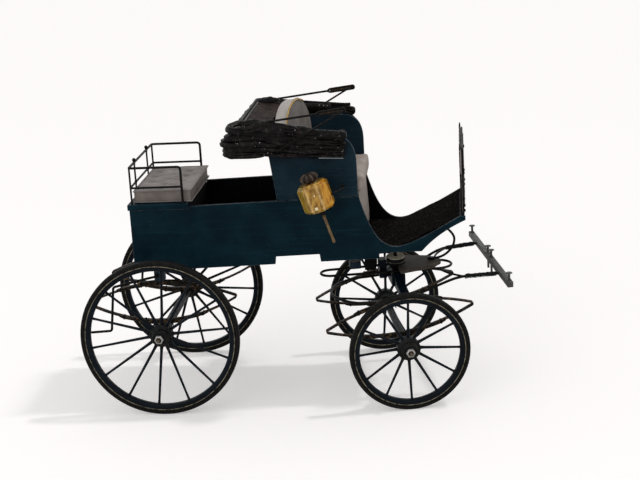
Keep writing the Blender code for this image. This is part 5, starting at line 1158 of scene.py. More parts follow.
def fore_carriage():
    """Loop, hoop with its arms, splinter bar, kingpin cup and bent stay, all above the bed."""
    bed_top = 103.2
    rod = 1.0
    loop_z = bed_top + GAP + rod
    rear_half = 9.5
    front_half = 13.0
    front_centre = 50.4 - front_half
    rear_centre = -67.6 + rear_half
    path = []
    for centre, half, turn in ((rear_centre, rear_half, 90), (front_centre, front_half, 270)):
        for k in range(17):
            angle = math.radians(turn + 180.0 * k / 16)
            path.append((centre + half * math.cos(angle), half * math.sin(angle), loop_z))
    bm = bmesh.new()
    wire(bm, path, 1.15, closed=True)
    piece("long_loop", bm, iron, "fore_carriage", FORE, ["upper_loop"], 45)

    bar_x = 85.9
    bar_half = 2.5
    bar_reach = 84.0
    arm_z = 106.5
    hoop_z = 85.5
    hoop_x = -18.1
    spread = 49.0
    half = 41.0
    bar_rear = bar_x - bar_half - GAP

    def arm(side):
        return [(bar_rear, side * spread, arm_z), (0.62 * bar_rear, side * (spread - 3.0), arm_z - 1.2),
                (0.38 * bar_rear, side * (half + 0.6), arm_z - 8.4),
                (0.19 * bar_rear, side * half, hoop_z + 6.6), (0.0, side * half, hoop_z + 1.9)]

    path = arm(-1)
    for k in range(13):
        angle = -math.pi / 2 - math.pi * k / 12
        path.append((hoop_x + half * math.cos(angle), half * math.sin(angle), hoop_z))
    path += list(reversed(arm(1)))
    bm = bmesh.new()
    wire(bm, smooth(path, 4), 1.22)
    reach = front_half + rod + GAP
    for side in (-1, 1):
        wire(bm, smooth([(0.62 * bar_x, side * (spread - 3.3), arm_z - 1.3),
                         (0.50 * bar_x, side * 0.5 * (spread + reach), loop_z + 0.4),
                         (front_centre - 1.0, side * reach, loop_z)], 6), 0.95)
    piece("hoop_and_arms", bm, iron, "fore_carriage", FORE, ["hoop_frame"], 45)
    bm = bmesh.new()
    for side in (-1, 1):
        binding(bm, (bar_rear - 1.5, side * spread, arm_z),
                (bar_rear - 29.0, side * (spread - 2.7), arm_z - 1.1), 1.6, 1.1, 3 + side)
    piece("arm_bindings", bm, iron, "fore_carriage", FORE, angle=60)

    bm = bmesh.new()
    block(bm, (bar_x - bar_half, -bar_reach, arm_z - bar_half),
          (bar_x + bar_half, bar_reach, arm_z + bar_half), 0.45)
    piece("draught_bar", bm, bar_grey, "fore_carriage", FORE, ["splinter_bar"], 25)
    bm = bmesh.new()
    neck = arm_z + bar_half + 7.0
    for y, drop in ((-78.8, 2.9), (-6.8, 11.5), (6.8, 11.5), (78.8, 2.9)):
        profile = lifted(arm_z - drop, [(0.0, 0.5), (0.2, 1.0)])
        profile += lifted(neck, [(-1.4, 1.05), (-1.0, 1.5), (-0.8, 2.8), (-0.3, 2.85), (-0.05, 2.6),
                                 (0.0, 0.0)])
        lathe(bm, profile, 24, "Z", (bar_x, y, 0.0))
        lathe(bm, lifted(arm_z, [(2.4, 1.9), (3.0, 1.9), (3.2, 1.6), (3.2, 1.0)]), 6, "Z",
              (bar_x, y, 0.0))
    piece("bar_pins", bm, bar_grey, "fore_carriage", FORE, angle=35)

    cup_foot = bed_top + GAP
    cup_lean = math.radians(9.0)
    tall = 12.5
    profile = lifted(cup_foot, [(0.0, 1.8), (0.0, 3.5), (0.5, 3.9), (1.2, 4.0), (1.8, 4.3), (3.0, 5.4),
                                (4.5, 6.6), (6.5, 7.7), (8.6, 8.3), (9.0, 8.0), (9.3, 8.0), (9.6, 8.5),
                                (tall - 0.6, 8.5), (tall, 8.3), (tall + 0.25, 4.6), (tall, 1.8)])
    bm = bmesh.new()
    lathe(bm, profile, 48, "Z", closed=True)
    lean = (Matrix.Translation((0.0, 0.0, cup_foot)) @ Matrix.Rotation(cup_lean, 4, "X")
            @ Matrix.Translation((0.0, 0.0, -cup_foot)))
    piece("turned_cup", bm, cup_paint, "fore_carriage", FORE @ lean, ["kingpin_cup"], 30)
    # The lid's pale raw face: bare wood and painted light
    bm = bmesh.new()
    lathe(bm, lifted(cup_foot + tall, [(0.0, 2.2), (0.0, 8.0), (0.5, 7.7), (0.6, 2.2)]), 40, "Z",
          closed=True)
    piece("cup_raw_face", bm, raw_wood_painted_light, "fore_carriage", FORE @ lean, angle=30)

    plate_top = loop_z + rod + GAP + 3.2
    stay_z = plate_top + GAP + 1.1
    stay = [(x, 0.0, stay_z + rise) for x, rise in ((30.0, 0.0), (38.5, 0.3), (46.0, 3.2), (52.2, 9.5),
                                                    (54.0, 17.5), (50.0, 24.5), (43.0, 30.0))]
    bm = bmesh.new()
    wire(bm, smooth(stay, 8), 1.1, up=(0, 1, 0))
    lathe(bm, lifted(plate_top, [(0.1, 2.6), (2.4, 2.6), (2.8, 2.2), (2.8, 1.0)]), 6, "Z",
          (33.0, 0.0, 0.0))
    ball(bm, stay[-1], 1.5)
    piece("curled_stay", bm, iron, "fore_carriage", FORE, ["stay_iron"], 40)


fore_carriage()


# Dash

def dash():
    """Two worn leather skins over a pale core, bound at the rim and held in an iron frame."""
    x = TOE_X + 1.9
    foot = TOE_Z + GAP
    half = 48.5
    top = foot + 58.0
    bar_y = half - 0.9

    def skin_face(offset, thickness, seed, look, name):
        """A crumpled skin that hangs within the frame, offset along the carriage."""
        def point(u, v):
            y = (2.0 * u - 1.0) * (half - 1.0)
            limit = top - 1.2 - 2.6 * max(0.0, (abs(y) - half + 6.0) / 5.0) ** 2
            z = foot + 1.2 + (limit - foot - 1.2) * v
            ragged = ripple(y * 0.06, z * 0.16, seed) + 0.5 * ripple(y * 0.2, z * 0.5, seed)
            rim = ripple(seed, z * 0.3, y * 0.3)
            edge = 0.5 * rim if abs(2.0 * u - 1.0) > 0.97 else 0.0
            return Vector((x + offset + 0.34 * ragged, y + edge, z))

        bm = bmesh.new()
        grid(bm, 44, 40, point)
        made = make(name, bm, look, angle=80)
        thicken(made, thickness)
        return tell(made, "body")

    front = skin_face(0.95, 1.15, 3.0, hood_leather, "dash_leather")
    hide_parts("dash")
    skin_face(-0.95, 1.1, 8.0, hood_leather, "dash_back_leather")
    skin_face(0.0, 0.45, 5.0, band_leather, "dash_core")

    bm = bmesh.new()
    frame_path = rounded([(x, -bar_y, foot), (x, -bar_y, top - 2.6), (x, -half + 4.0, top - 0.9),
                          (x, half - 4.0, top - 0.9), (x, bar_y, top - 2.6), (x, bar_y, foot)], 1.5, 4)
    for face in (-1, 1):
        ragged = []
        for first, last in zip(frame_path, frame_path[1:]):
            count = max(1, int((last - first).length / 1.6))
            for k in range(count):
                spot = first.lerp(last, k / count)
                spot.x += face * (1.05 + 0.35 * noise.noise(spot * 0.35))
                spot.y += 0.3 * noise.noise(spot * 0.27 + Vector((9.0, 0.0, face)))
                ragged.append(spot)
        wire(bm, ragged, 0.62, 8, up=(1, 0, 0))
    wire(bm, [(x, -bar_y, foot + 0.9), (x, bar_y, foot + 0.9)], 0.9, up=(1, 0, 0))
    for y in (-half / 3, half / 3):
        wire(bm, [(x + 1.7, y, foot), (x + 1.7, y, top - 0.9)], 0.5, up=(1, 0, 0))
    for side in (-1, 1):
        lathe(bm, lifted(foot, [(-0.2, 1.6), (2.2, 1.6), (2.6, 1.2)]), 16, "Z",
              (x, side * (half - 0.95), 0.0))
        lathe(bm, lifted(top, [(-2.5, 0.9), (0.5, 0.8), (2.6, 0.5), (3.2, 0.2)]), 12, "Z",
              (x - 0.9, side * (half - 1.6), 0.0))
        for lift, size in ((39.0, 1.5), (14.0, 1.1), (8.0, 1.3), (3.6, 1.2)):
            ball(bm, (x + 1.7, side * (half - 1.2), foot + lift), size, (0.8, 0.9, 1.2), 8, 12)
    piece("dash_iron", bm, iron, "body", angle=45)
    bm = bmesh.new()
    count = 46
    for k in range(count):
        z = foot + 3.0 + (top - foot - 8.0) * (k + 0.5) / count
        for side in (-1, 1):
            for face in (-1, 1):
                ball(bm, (x + face * 1.55, side * (half - 3.4), z), 0.42, (0.5, 0.6, 1.0), 4, 6)
    for side in (-1, 1):
        wire(bm, [(x - 0.5 + 0.3 * ripple(0.0, side, z), side * (half - 0.2), z)
                  for z in (foot + 36.0 + 2.0 * k for k in range(11))], 0.62, 8, up=(1, 0, 0))
    piece("dash_stitches", bm, seat_leather, "body", angle=60)


dash()


# Soft goods

SIM_SCALE = 8.0
SIM_FRAMES = 20


def puff(name, rough, look, place, held, pressure, cap, voxel, shape=None):
    """Swell a closed millimetre mesh like a stuffed cushion.

    The rough shape is remeshed, by voxels of the given size, and drawn SIM_SCALE times as
    large as it is, which suits the cloth solver. held(p) says which points a seam or a
    button holds, shape(p) moves a point before the swelling, and cap limits how far a
    point may travel.
    """
    soft = make(name, rough, look, Matrix.Scale(MM * SIM_SCALE, 4))
    remesh = soft.modifiers.new("remesh", "REMESH")
    remesh.mode = "VOXEL"
    remesh.voxel_size = voxel * MM * SIM_SCALE
    fine = applied(soft)
    real = MM * SIM_SCALE
    start = []
    for vert in fine.vertices:
        spot = vert.co / real
        if shape is not None:
            spot = shape(spot)
            vert.co = spot * real
        start.append(spot.copy())
    group = soft.vertex_groups.new(name="held")
    for vert, spot in zip(fine.vertices, start):
        hold = held(spot)
        if hold > 0.0:
            group.add([vert.index], hold, "REPLACE")
    scene = bpy.context.scene
    cloth = soft.modifiers.new("cloth", "CLOTH")
    settings = cloth.settings
    settings.quality = 5
    settings.mass = 0.3
    settings.tension_stiffness = 12.0
    settings.compression_stiffness = 12.0
    settings.shear_stiffness = 5.0
    settings.bending_stiffness = 0.4
    settings.vertex_group_mass = "held"
    settings.use_pressure = True
    settings.uniform_pressure_force = pressure
    settings.effector_weights.gravity = 0.0
    cloth.collision_settings.use_collision = False
    cloth.point_cache.frame_start = 1
    cloth.point_cache.frame_end = SIM_FRAMES
    for step in range(1, SIM_FRAMES + 1):
        scene.frame_set(step)
    swollen = applied(soft)
    for vert, spot in zip(swollen.vertices, start):
        move = vert.co / real - spot
        if move.length > cap:
            move *= cap / move.length
        vert.co = (spot + move) * real
    scene.frame_set(1)
    final = soft.data
    final.name = name
    final.transform(place @ Matrix.Scale(1.0 / real, 4))
    final.materials.clear()
    final.materials.append(look)
    final.shade_smooth()
    relax = soft.modifiers.new("relax", "SMOOTH")
    relax.factor = 0.5
    relax.iterations = 3
    finer = soft.modifiers.new("finer", "SUBSURF")
    finer.levels = 1
    finer.render_levels = 1
    applied(soft)
    soft.vertex_groups.clear()
    return soft


def near_edges(spot, low, high, reach):
    """True where a point lies within reach of an edge of a box."""
    faces = [c for c in range(3) if min(abs(spot[c] - low[c]), abs(spot[c] - high[c])) < reach]
    return len(faces) >= 2


def rear_cushion():
    """A buttoned cushion: pleats run from each button to its neighbours in the next row."""
    low = Vector((-19.2, -45.6, SEAT_BOARD_TOP + GAP))
    high = Vector((31.2, 45.6, SEAT_BOARD_TOP + 11.0))
    pitch = 19.0
    pleat_reach = 18.5
    four = (-1.5 * pitch, -0.5 * pitch, 0.5 * pitch, 1.5 * pitch)
    five = (-2.0 * pitch, -pitch, 0.0, pitch, 2.0 * pitch)
    rows = ((-11.5, four), (2.5, five), (17.5, four))
    buttons = [Vector((x, y, high.z)) for x, line in rows for y in line]
    pleats = [(a, b) for a in buttons for b in buttons
              if a.x < b.x - 1.0 and (a - b).length < pleat_reach]

    def dimples(spot):
        moved = spot.copy()
        if spot.z > high.z - 1.5:
            flat = Vector((spot.x, spot.y, high.z))
            near = min((flat - button).length for button in buttons)
            moved.z -= 4.0 * math.exp(-(near / 2.5) ** 2)
            gap = 9.0
            for a, b in pleats:
                share = max(0.0, min(1.0, (flat - a).dot(b - a) / (b - a).length_squared))
                gap = min(gap, (a.lerp(b, share) - flat).length)
            moved.z -= 1.0 * math.exp(-(gap / 1.1) ** 2)
        waist = 1.0 - ((spot.z - low.z) / (high.z - low.z) * 2.0 - 1.0) ** 2
        inward = 0.7 * waist
        if abs(spot.y) > 44.0:
            moved.y -= math.copysign(inward, spot.y)
        if spot.x > 29.5:
            moved.x -= inward
        return moved

    def held(spot):
        if near_edges(spot, low, high, 1.2) or spot.z < low.z + 0.8:
            return 1.0
        for button in buttons:
            if (spot - button).xy.length < 1.5 and spot.z > low.z + 3.0:
                return 1.0
        return 0.0

    bm = bmesh.new()
    block(bm, low, high, 0.8)
    soft = puff("rear_cushion_pad", bm, seat_leather, VEHICLE, held, 5.0, 3.0, 1.0, dimples)
    second_look(soft, band_leather, lambda normal: normal.z < 0.35)
    tell(soft, "body", ["rear_cushion"])
    bm = bmesh.new()
    for z, out in ((high.z - 0.3, 0.25), (low.z + 0.7, 0.35)):
        corners = [(low.x, low.y - out, z), (low.x, high.y + out, z), (high.x + out, high.y + out, z),
                   (high.x + out, low.y - out, z), (low.x, low.y - out, z)]
        ring = []
        for first, last in zip(corners, corners[1:]):
            run = Vector(last) - Vector(first)
            for k in range(12):
                spot = Vector(first) + run * (k / 12)
                spot.z += 0.35 * noise.noise(spot * 0.09)
                ring.append(spot)
        wire(bm, ring, 0.55, 8, closed=True)
    piece("rear_cushion_piping", bm, seat_leather, "body", angle=60)
    # Dark buttons sunk in the dimples, which also paint the shade of the tufts
    bm = bmesh.new()
    for button in buttons:
        ball(bm, (button.x, button.y, button.z - 2.5), 1.75, (1.0, 1.0, 0.45), 8, 14)
    piece("rear_cushion_buttons", bm, button_and_tuft_shade, "body", angle=60)


rear_cushion()


def front_cushion():
    """A plain stuffed cushion that sags on the front seat."""
    low = Vector((seat_rear(PLANK_TOP) + 3.6, -44.2, PLANK_TOP + GAP))
    high = Vector((180.4, 44.2, PLANK_TOP + 14.6))

    def sag(spot):
        moved = spot.copy()
        if spot.z > high.z - 2.0:
            moved.z -= 1.1 + 0.8 * ripple(spot.x * 0.07, spot.y * 0.07, 3.0)
        moved.x += 0.6 * ripple(7.0, spot.y * 0.10, spot.z * 0.14) if spot.x > 172.0 else 0.0
        return moved

    def held(spot):
        sewn = near_edges(spot, low, high, 1.6)
        return 1.0 if sewn or spot.z < low.z + 0.8 or spot.x < low.x + 0.8 else 0.0

    bm = bmesh.new()
    block(bm, low, high, 1.2)
    soft = puff("front_cushion_pad", bm, fall_leather, VEHICLE, held, 5.0, 3.0, 1.3, sag)
    tell(soft, "body", ["front_cushion"])


front_cushion()


def back_cushion():
    """The loose D-shaped cushion that stands turned on the front seat, piped round its face."""
    half = 37.0
    tall = 58.0
    thick = 11.5
    shoulder = 0.52 * tall
    rake = math.radians(5.0)
    turn = math.radians(12.0)
    seat_top = PLANK_TOP + GAP + 15.0
    place = (VEHICLE @ Matrix.Translation((126.5, 0.0, seat_top + GAP + thick * math.sin(rake)))
             @ Matrix.Rotation(-turn, 4, "Z") @ Matrix.Rotation(-rake, 4, "Y"))

    def arch(inset, steps=40):
        points = [(-half + inset, inset), (half - inset, inset)]
        for k in range(steps + 1):
            angle = math.pi * k / steps
            points.append(((half - inset) * math.cos(angle),
                           shoulder + (tall - shoulder - inset) * math.sin(angle)))
        return points

    outline = arch(0.0)

    def to_edge(y, z):
        """Distance from a point to the cushion's outline."""
        best = 1e9
        for (y0, z0), (y1, z1) in zip(outline, outline[1:] + outline[:1]):
            run = Vector((y1 - y0, z1 - z0))
            if run.length < 1e-6:
                continue
            t = max(0.0, min(1.0, Vector((y - y0, z - z0)).dot(run) / run.length_squared))
            best = min(best, (Vector((y0, z0)) + run * t - Vector((y, z))).length)
        return best

    def held(spot):
        rim = to_edge(spot.y, spot.z) < 1.3
        return 1.0 if rim and (spot.x > -1.3 or spot.x < -thick + 1.3) else 0.0

    bm = bmesh.new()
    slab(bm, arch(0.5), -thick + 0.3, -0.6, "X", 0.8)
    soft = puff("back_cushion_pad", bm, shaded_cushion_face, place, held, 3.0, 1.6, 1.2)
    ahead = (place.to_3x3() @ Vector((1.0, 0.0, 0.0))).normalized()
    # The flat faces keep the darker copy, which paints shade on them; the rim gets the pale band
    second_look(soft, cushion_band, lambda normal: abs(normal.dot(ahead)) <= 0.62)
    tell(soft, "body", ["back_cushion"])
    for word, look, x, radius, inset, steps in (("white", white_cord, -0.75, 0.55, 0.15, 36),
                                                ("gold", gold_cord, 0.15, 0.62, 1.0, 42)):
        bm = bmesh.new()
        rim = [(x, y, z) for y, z in reversed(arch(inset, 60)[2:])]
        wire(bm, rim[:steps], radius, 10, up=(1, 0, 0))
        piece(f"back_cushion_{word}_piping", bm, look, "body", place, angle=60)


back_cushion()


def seat_fall():
    """A leather fall that hangs in soft folds from the seat to the foot floor."""
    top = gunwale(SEAT_SIDE_FRONT) + 2.6
    line = smooth([(176.5, 0.0, top), (176.9, 0.0, top - 12.0), (177.6, 0.0, top - 26.0),
                   (178.2, 0.0, top - 38.0), (177.9, 0.0, FLOOR_TOP + 3.2)], 8)
    rows = len(line) - 1
    half = 44.0

    def point(u, v):
        spot = line[round(v * rows)]
        y = (u * 2.0 - 1.0) * half
        fold = (0.15 + 0.9 * v) * (ripple(y * 0.12, v * 1.1, 2.0) + 0.4 * noise.noise(
            Vector((y * 0.35, v * 3.0, 8.0))))
        hem = 0.8 * v * ripple(y * 0.16, 5.0, 1.0)
        return Vector((spot.x + fold, y, spot.z + hem))

    bm = bmesh.new()
    grid(bm, 70, rows, point)
    fall = make("seat_fall_leather", bm, fall_leather)
    thicken(fall, 0.6)
    tell(fall, "body", ["seat_fall"])


seat_fall()


def foot_mat():
    """Worn carpet that lies on the foot floor and runs up the toe board."""
    ramp_x = 209.0
    slope = math.atan2(161.9 - FLOOR_TOP, 262.5 - ramp_x)
    lift = 0.75
    ramp_lift = lift / math.cos(slope)
    rises = [(x, lift + extra) for x, extra in ((177.3, 0.0), (195.0, 0.0), (205.0, 0.2), (213.0, 2.3))]
    rises += [(x, ramp_lift + math.tan(slope) * (x - ramp_x)) for x in (235.0, 260.8)]
    line = smooth([(x, 0.0, FLOOR_TOP + rise) for x, rise in rises], 14)
    rows = len(line) - 1
    half = 46.4

    def point(u, v):
        spot = line[round(v * rows)]
        y = (u * 2.0 - 1.0) * half
        pile = 0.22 * ripple(spot.x * 0.8, y * 0.8, 1.0) + 0.25 * noise.noise(
            Vector((spot.x * 0.13, y * 0.13, 4.0)))
        return Vector((spot.x, y, spot.z + pile))

    bm = bmesh.new()
    grid(bm, 110, rows, point)
    mat = make("foot_carpet", bm, carpet)
    thicken(mat, 0.8)
    tell(mat, "body", ["foot_mat"])


foot_mat()


# Lamps

def lamp(hand, side):
    """An eight-sided glass on a stem, with its lining, core, fluted cap and wire bracket."""
    body = "lamp_" + hand
    middle = Vector((LAMP.x, side * LAMP.y, LAMP.z))
    place = VEHICLE @ Matrix.Translation(middle) @ Matrix.Rotation(LAMP_TILT, 4, "Y")
    low, high = -11.6, 12.8
    radius = 14.2
    bevel = 2.6
    bm = bmesh.new()
    shell = [(low, 2.4), (low, radius - bevel), (low + bevel, radius), (high - bevel, radius),
             (high, radius - bevel), (high, 2.4), (high - 0.7, 2.6), (high - 0.8, radius - bevel - 0.6),
             (high - bevel - 0.3, radius - 0.8), (low + bevel + 0.3, radius - 0.8),
             (low + 0.8, radius - bevel - 0.6), (low + 0.7, 2.6)]
    lathe(bm, shell, 8, "Z", closed=True, start=EIGHTH)
    soften(bm, bm.faces[:], 0.75, 20.0, 4)
    piece("lamp_shade_" + hand, bm, amber, body, place, ["lamp_glass_" + hand], 22)

    bm = bmesh.new()
    lathe(bm, [(low + 1.0, 3.0), (low + 1.0, radius - 3.6), (low + 2.9, radius - 1.05),
               (high - 2.9, radius - 1.05), (high - 1.0, radius - 3.6), (high - 1.0, 3.0)], 8, "Z",
          start=EIGHTH)
    soften(bm, bm.faces[:], 0.35, 20.0, 2)
    piece("lamp_lining_" + hand, bm, amber_core, body, place, angle=30)

    # Pale squares set on the outward facet: painted glints that stand for reflections
    bm = bmesh.new()
    out = Matrix.Rotation(side * math.pi / 2, 4, "Z")
    facet = radius * math.cos(EIGHTH)
    reach = facet + 0.12
    for across, lift, wide, tall in ((-1.2, low + 3.2, 2.5, 2.4), (0.9, high - 9.8, 0.9, 1.5)):
        left = -side * across - wide / 2
        right = -side * across + wide / 2
        slab(bm, [(left, lift), (right, lift), (right, lift + tall), (left, lift + tall)], reach - 0.3,
             reach, "X", 0.06)
    bmesh.ops.transform(bm, matrix=out, verts=bm.verts[:])
    piece("lamp_glints_" + hand, bm, glint, body, place, angle=20)

    bm = bmesh.new()
    lathe(bm, [(CORE_FOOT, 1.8), (CORE_TOP + GAP, 1.8)], 24, "Z")
    piece("lamp_burner_" + hand, bm, nut_brass, body, place, ["lamp_core_" + hand], 30)

    bm = bmesh.new()
    flutes = 9
    points = flutes * 6
    rings = []
    dome = ((-0.1, 3.6), (0.9, 3.8), (1.6, 4.8), (2.4, 6.6), (3.4, 7.6), (4.6, 7.8), (6.0, 7.0),
            (7.2, 5.4), (8.1, 3.4), (8.5, 1.1))
    for lift, size in dome:
        deep = 0.30 if lift > 2.0 else 0.02
        ring = []
        for k in range(points):
            angle = 2.0 * math.pi * k / points
            reach = size * (1.0 - deep * (0.5 + 0.5 * math.cos(angle * flutes)))
            ring.append(Vector((reach * math.cos(angle), reach * math.sin(angle), high + lift)))
        rings.append(ring)
    skin(bm, rings)
    piece("lamp_cap_" + hand, bm, cap_brown, body, place, angle=50)

    # Lighter ribs over the flutes: painted highlights on the ridges
    bm = bmesh.new()
    for k in range(flutes):
        angle = 2.0 * math.pi * (k + 0.5) / flutes
        c, s = math.cos(angle), math.sin(angle)
        rib = [(size * c, size * s, high + lift) for lift, size in dome[3:-1]]
        wire(bm, rib, 0.55, 8, up=(-s, c, 0.0))
    piece("lamp_cap_ribs_" + hand, bm, highlit_cap_rib, body, place, angle=60)

    bm = bmesh.new()
    lathe(bm, lifted(low, [(0.1, 3.6), (-0.8, 3.9), (-2.2, 3.4), (-3.8, 2.3), (-5.2, 1.8)]), 28, "Z")
    piece("lamp_socket_" + hand, bm, iron, body, place, angle=50)

    bm = bmesh.new()
    lathe(bm, lifted(CORE_FOOT, [(-2.0, 1.2), (-3.6, 1.25), (-3.9, 1.5), (-4.5, 1.5), (-4.8, 1.25),
                                 (-24.4, 1.2), (-26.4, 1.4), (-27.6, 1.25), (-28.2, 0.6)]), 20, "Z")
    piece("lamp_stem_" + hand, bm, stem_wood, body, place, angle=40)

    pivot = Vector((163.5, side * 50.6, 194.0))
    lean = Matrix.Rotation(LAMP_TILT, 3, "Y")
    centre = middle - pivot
    touch = facet + GAP
    bm = bmesh.new()
    wire(bm, rounded([centre + lean @ Vector((touch, 0.0, -2.0)),
                      centre + lean @ Vector((touch + 2.0, 0.0, -1.6)),
                      Vector((3.0, centre.y * 0.55, 0.8)), Vector((0.0, side * 3.0, 0.0)),
                      Vector((0.0, 0.0, 0.0))], 2.0, 6), 0.8)
    lathe(bm, [(0.0, 1.7), (side * 0.6, 1.7), (side * 0.8, 1.3)], 6)
    ball(bm, centre + lean @ Vector((touch + 0.1, 0.0, -2.0)), 1.5, (0.5, 1.0, 1.0))
    piece("lamp_wire_" + hand, bm, black_wire, body, VEHICLE @ Matrix.Translation(pivot),
          ["lamp_bracket_" + hand], 45)


lamp("right", -1)
lamp("left", 1)


# Hood

def roll_run(x):
    """How far a place lies behind the level front part of the rolls."""
    return max(160.0 - max(x, 95.0), 0.0)


def roll_height(x, level):
    """Height of a roll's middle, which climbs toward the rear."""
    return 223.0 + level * ROLL_PITCH + (0.058 + level * 0.022) * roll_run(x)


def roll_swell(x):
    """How much taller a roll is than at its front."""
    return 1.0 + 0.022 * roll_run(x) / (2.0 * ROLL_HALF_HEIGHT)


def hood_line(rear, level, half, lift, front, corner, step=2.0):
    """Points of a U from the near front, round behind the seat, to the far front.

    half is its half width, lift its height over the roll's middle and corner the radius
    of its two rear corners.
    """
    points = []
    count = int((front - rear - corner) / step)
    for k in range(count):
        x = front + (rear + corner - front) * k / count
        points.append(Vector((x, -half, roll_height(x, level) + lift)))
    inner = half - corner
    rear_z = roll_height(rear, level) + lift
    for k in range(9):
        angle = math.radians(90 + 90 * k / 8)
        points.append(Vector((rear + corner + corner * math.cos(angle), -inner - corner * math.sin(angle),
                              rear_z)))
    back = int(2.0 * inner / step)
    middle = [Vector((rear, -inner + 2.0 * inner * k / back, rear_z)) for k in range(1, back)]
    mirrored = [Vector((p.x, -p.y, p.z)) for p in reversed(points)]
    return points + middle + mirrored


def folded(along, angle, seed, strength=1.0):
    """How far folded leather stands out from its plain roll.

    It has slack bulges, a few deep creases and small crumples.
    """
    drift = 1.1 * ripple(along * 0.03, seed, 4.0)
    around = Vector((0.0, math.cos(angle + drift), math.sin(angle + drift)))

    def swirl(stretch, salt, wrap):
        return noise.noise(Vector((along * stretch, 0.0, salt)) + around * wrap)

    bulge = swirl(0.035, seed, 0.8)
    crease = 1.0 - min(1.0, abs(swirl(0.024, seed * 1.7, 0.95)) * 4.2)
    dent = 1.0 - min(1.0, abs(swirl(0.080, seed * 3.1, 1.15)) * 3.2)
    crumple = swirl(0.17, seed * 2.3, 1.9)
    fine = swirl(0.36, seed * 5.3, 3.4)
    slack = 1.7 * bulge + 0.5 - 2.1 * crease ** 2 - 0.7 * dent ** 2
    return strength * (slack + 0.35 * crumple + 0.12 * fine)


def eased(value, low, high):
    """A soft step from 0, at low, to 1, at high."""
    share = max(0.0, min(1.0, (value - low) / (high - low)))
    return share * share * (3.0 - 2.0 * share)


def settled(spot, level):
    """Shift a point of a roll to how the leather lies.

    It is tucked in behind, and slack at the near rear corner.
    """
    behind = 1.0 - eased(spot.x, 84.0, 104.0)
    inward = eased(spot.y, -47.0, -22.0)
    moved = spot.copy()
    moved.x += behind * (inward * (0.0, 5.0, 7.0)[level] - (1.0 - inward) * (3.5, 0.0, 0.0)[level])
    return moved


def hood_roll(name, level, body, node):
    """One roll of folded leather, a U from the near front round to the far front."""
    line = hood_line(ROLL_REAR[level], level, ROLL_Y, 0.0, ROLL_FRONT[level], ROLL_CORNER, 1.4)
    seed = 11.0 * level + 3.0
    strength = (1.25, 1.2, 0.9)[level]
    sides = 48
    lengths = [0.0]
    for first, last in zip(line, line[1:]):
        lengths.append(lengths[-1] + (last - first).length)
    total = lengths[-1]
    rings = []
    for i, (point, side, top) in enumerate(frames(line)):
        from_end = min(lengths[i], total - lengths[i])
        close = min(1.0, math.sqrt(max(from_end / 2.2, 0.02)))
        swell = roll_swell(point.x)
        beside = eased(point.x, 82.0, 98.0)
        cover = 0.0
        near = point.y < 0.0
        swollen = 4.2 * math.exp(-((point.x - 104.0) / 20.0) ** 2) * beside if near else 0.0
        notch = 2.2 * math.exp(-((point.x - 104.0) / 9.0) ** 2) if level == 0 else 0.0
        if level == 1:
            cover = swollen
        if level == 2:
            cover = beside * (3.6 - (3.2 if near else 2.8) * eased(point.x, 95.0, 165.0))
            notch = swollen
        ring = []
        for k in range(sides):
            angle = 2.0 * math.pi * k / sides
            c, s = math.cos(angle), math.sin(angle)
            flat = (abs(c) ** 2.6 + abs(s) ** 2.6) ** (-1.0 / 2.6)
            stand = folded(lengths[i], angle, seed, strength) * (0.35 + 0.65 * close)
            wide = (ROLL_HALF_WIDTH - 0.4) * flat + stand
            tall = (ROLL_HALF_HEIGHT * swell - 0.30) * flat + stand
            spot = point + side * c * wide * (0.62 + 0.38 * close)
            spot += top * s * tall * (0.45 + 0.55 * close)
            if s > 0.0:
                spot.z += cover * s
                spot.y -= math.copysign(0.9 * cover / 3.6 * s, point.y) if cover else 0.0
            else:
                spot.z -= notch * s
            ring.append(settled(spot, level))
        rings.append(ring)
    bm = bmesh.new()
    skin(bm, rings)
    piece(name, bm, hood_leather, body, stands_for=[node], angle=80)


for level, (name, body, node) in enumerate((("hood_fold_low", "hood_low", "hood_roll_low"),
                                            ("hood_fold_mid", "hood_mid", "hood_roll_mid"),
                                            ("hood_fold_top", "hood_top", "hood_roll_top"))):
    hood_roll(name, level, body, node)


def hood_web(name, level):
    """The leather between two folds, gathered as it lies at rest."""
    low_line, high_line = (hood_line(ROLL_REAR[k], k, ROLL_Y + 1.4, 0.0, 166.5, ROLL_CORNER)
                           for k in (level, level + 1))
    count = min(len(low_line), len(high_line)) - 1

    def at(line, u):
        spot = u * (len(line) - 1)
        i = min(int(spot), len(line) - 2)
        return line[i].lerp(line[i + 1], spot - i)

    def point(u, v):
        a = at(low_line, v)
        b = at(high_line, v)
        spot = a.lerp(b, u)
        out = Vector((spot.x - HOOD_MIDDLE_X, spot.y * 1.6, 0.0)).normalized()
        belly = math.sin(math.pi * u)
        wave = ripple(v * 22.0, u * 1.4, 5.0 + level) + 0.5 * noise.noise(
            Vector((v * 60.0, u * 2.5, 9.0 + level)))
        spot = settled(spot, level) if spot.x < 104.0 else spot
        return spot + out * (belly * (0.8 + 1.3 * wave)) + Vector((0.0, 0.0, 0.5 * wave * belly))

    bm = bmesh.new()
    grid(bm, 10, count * 2, point)
    made = make(name, bm, hood_leather, angle=80)
    thicken(made, 0.5)
    applied(made)
    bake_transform(made)


hood_web("hood_web_low", 0)
hood_web("hood_web_top", 1)


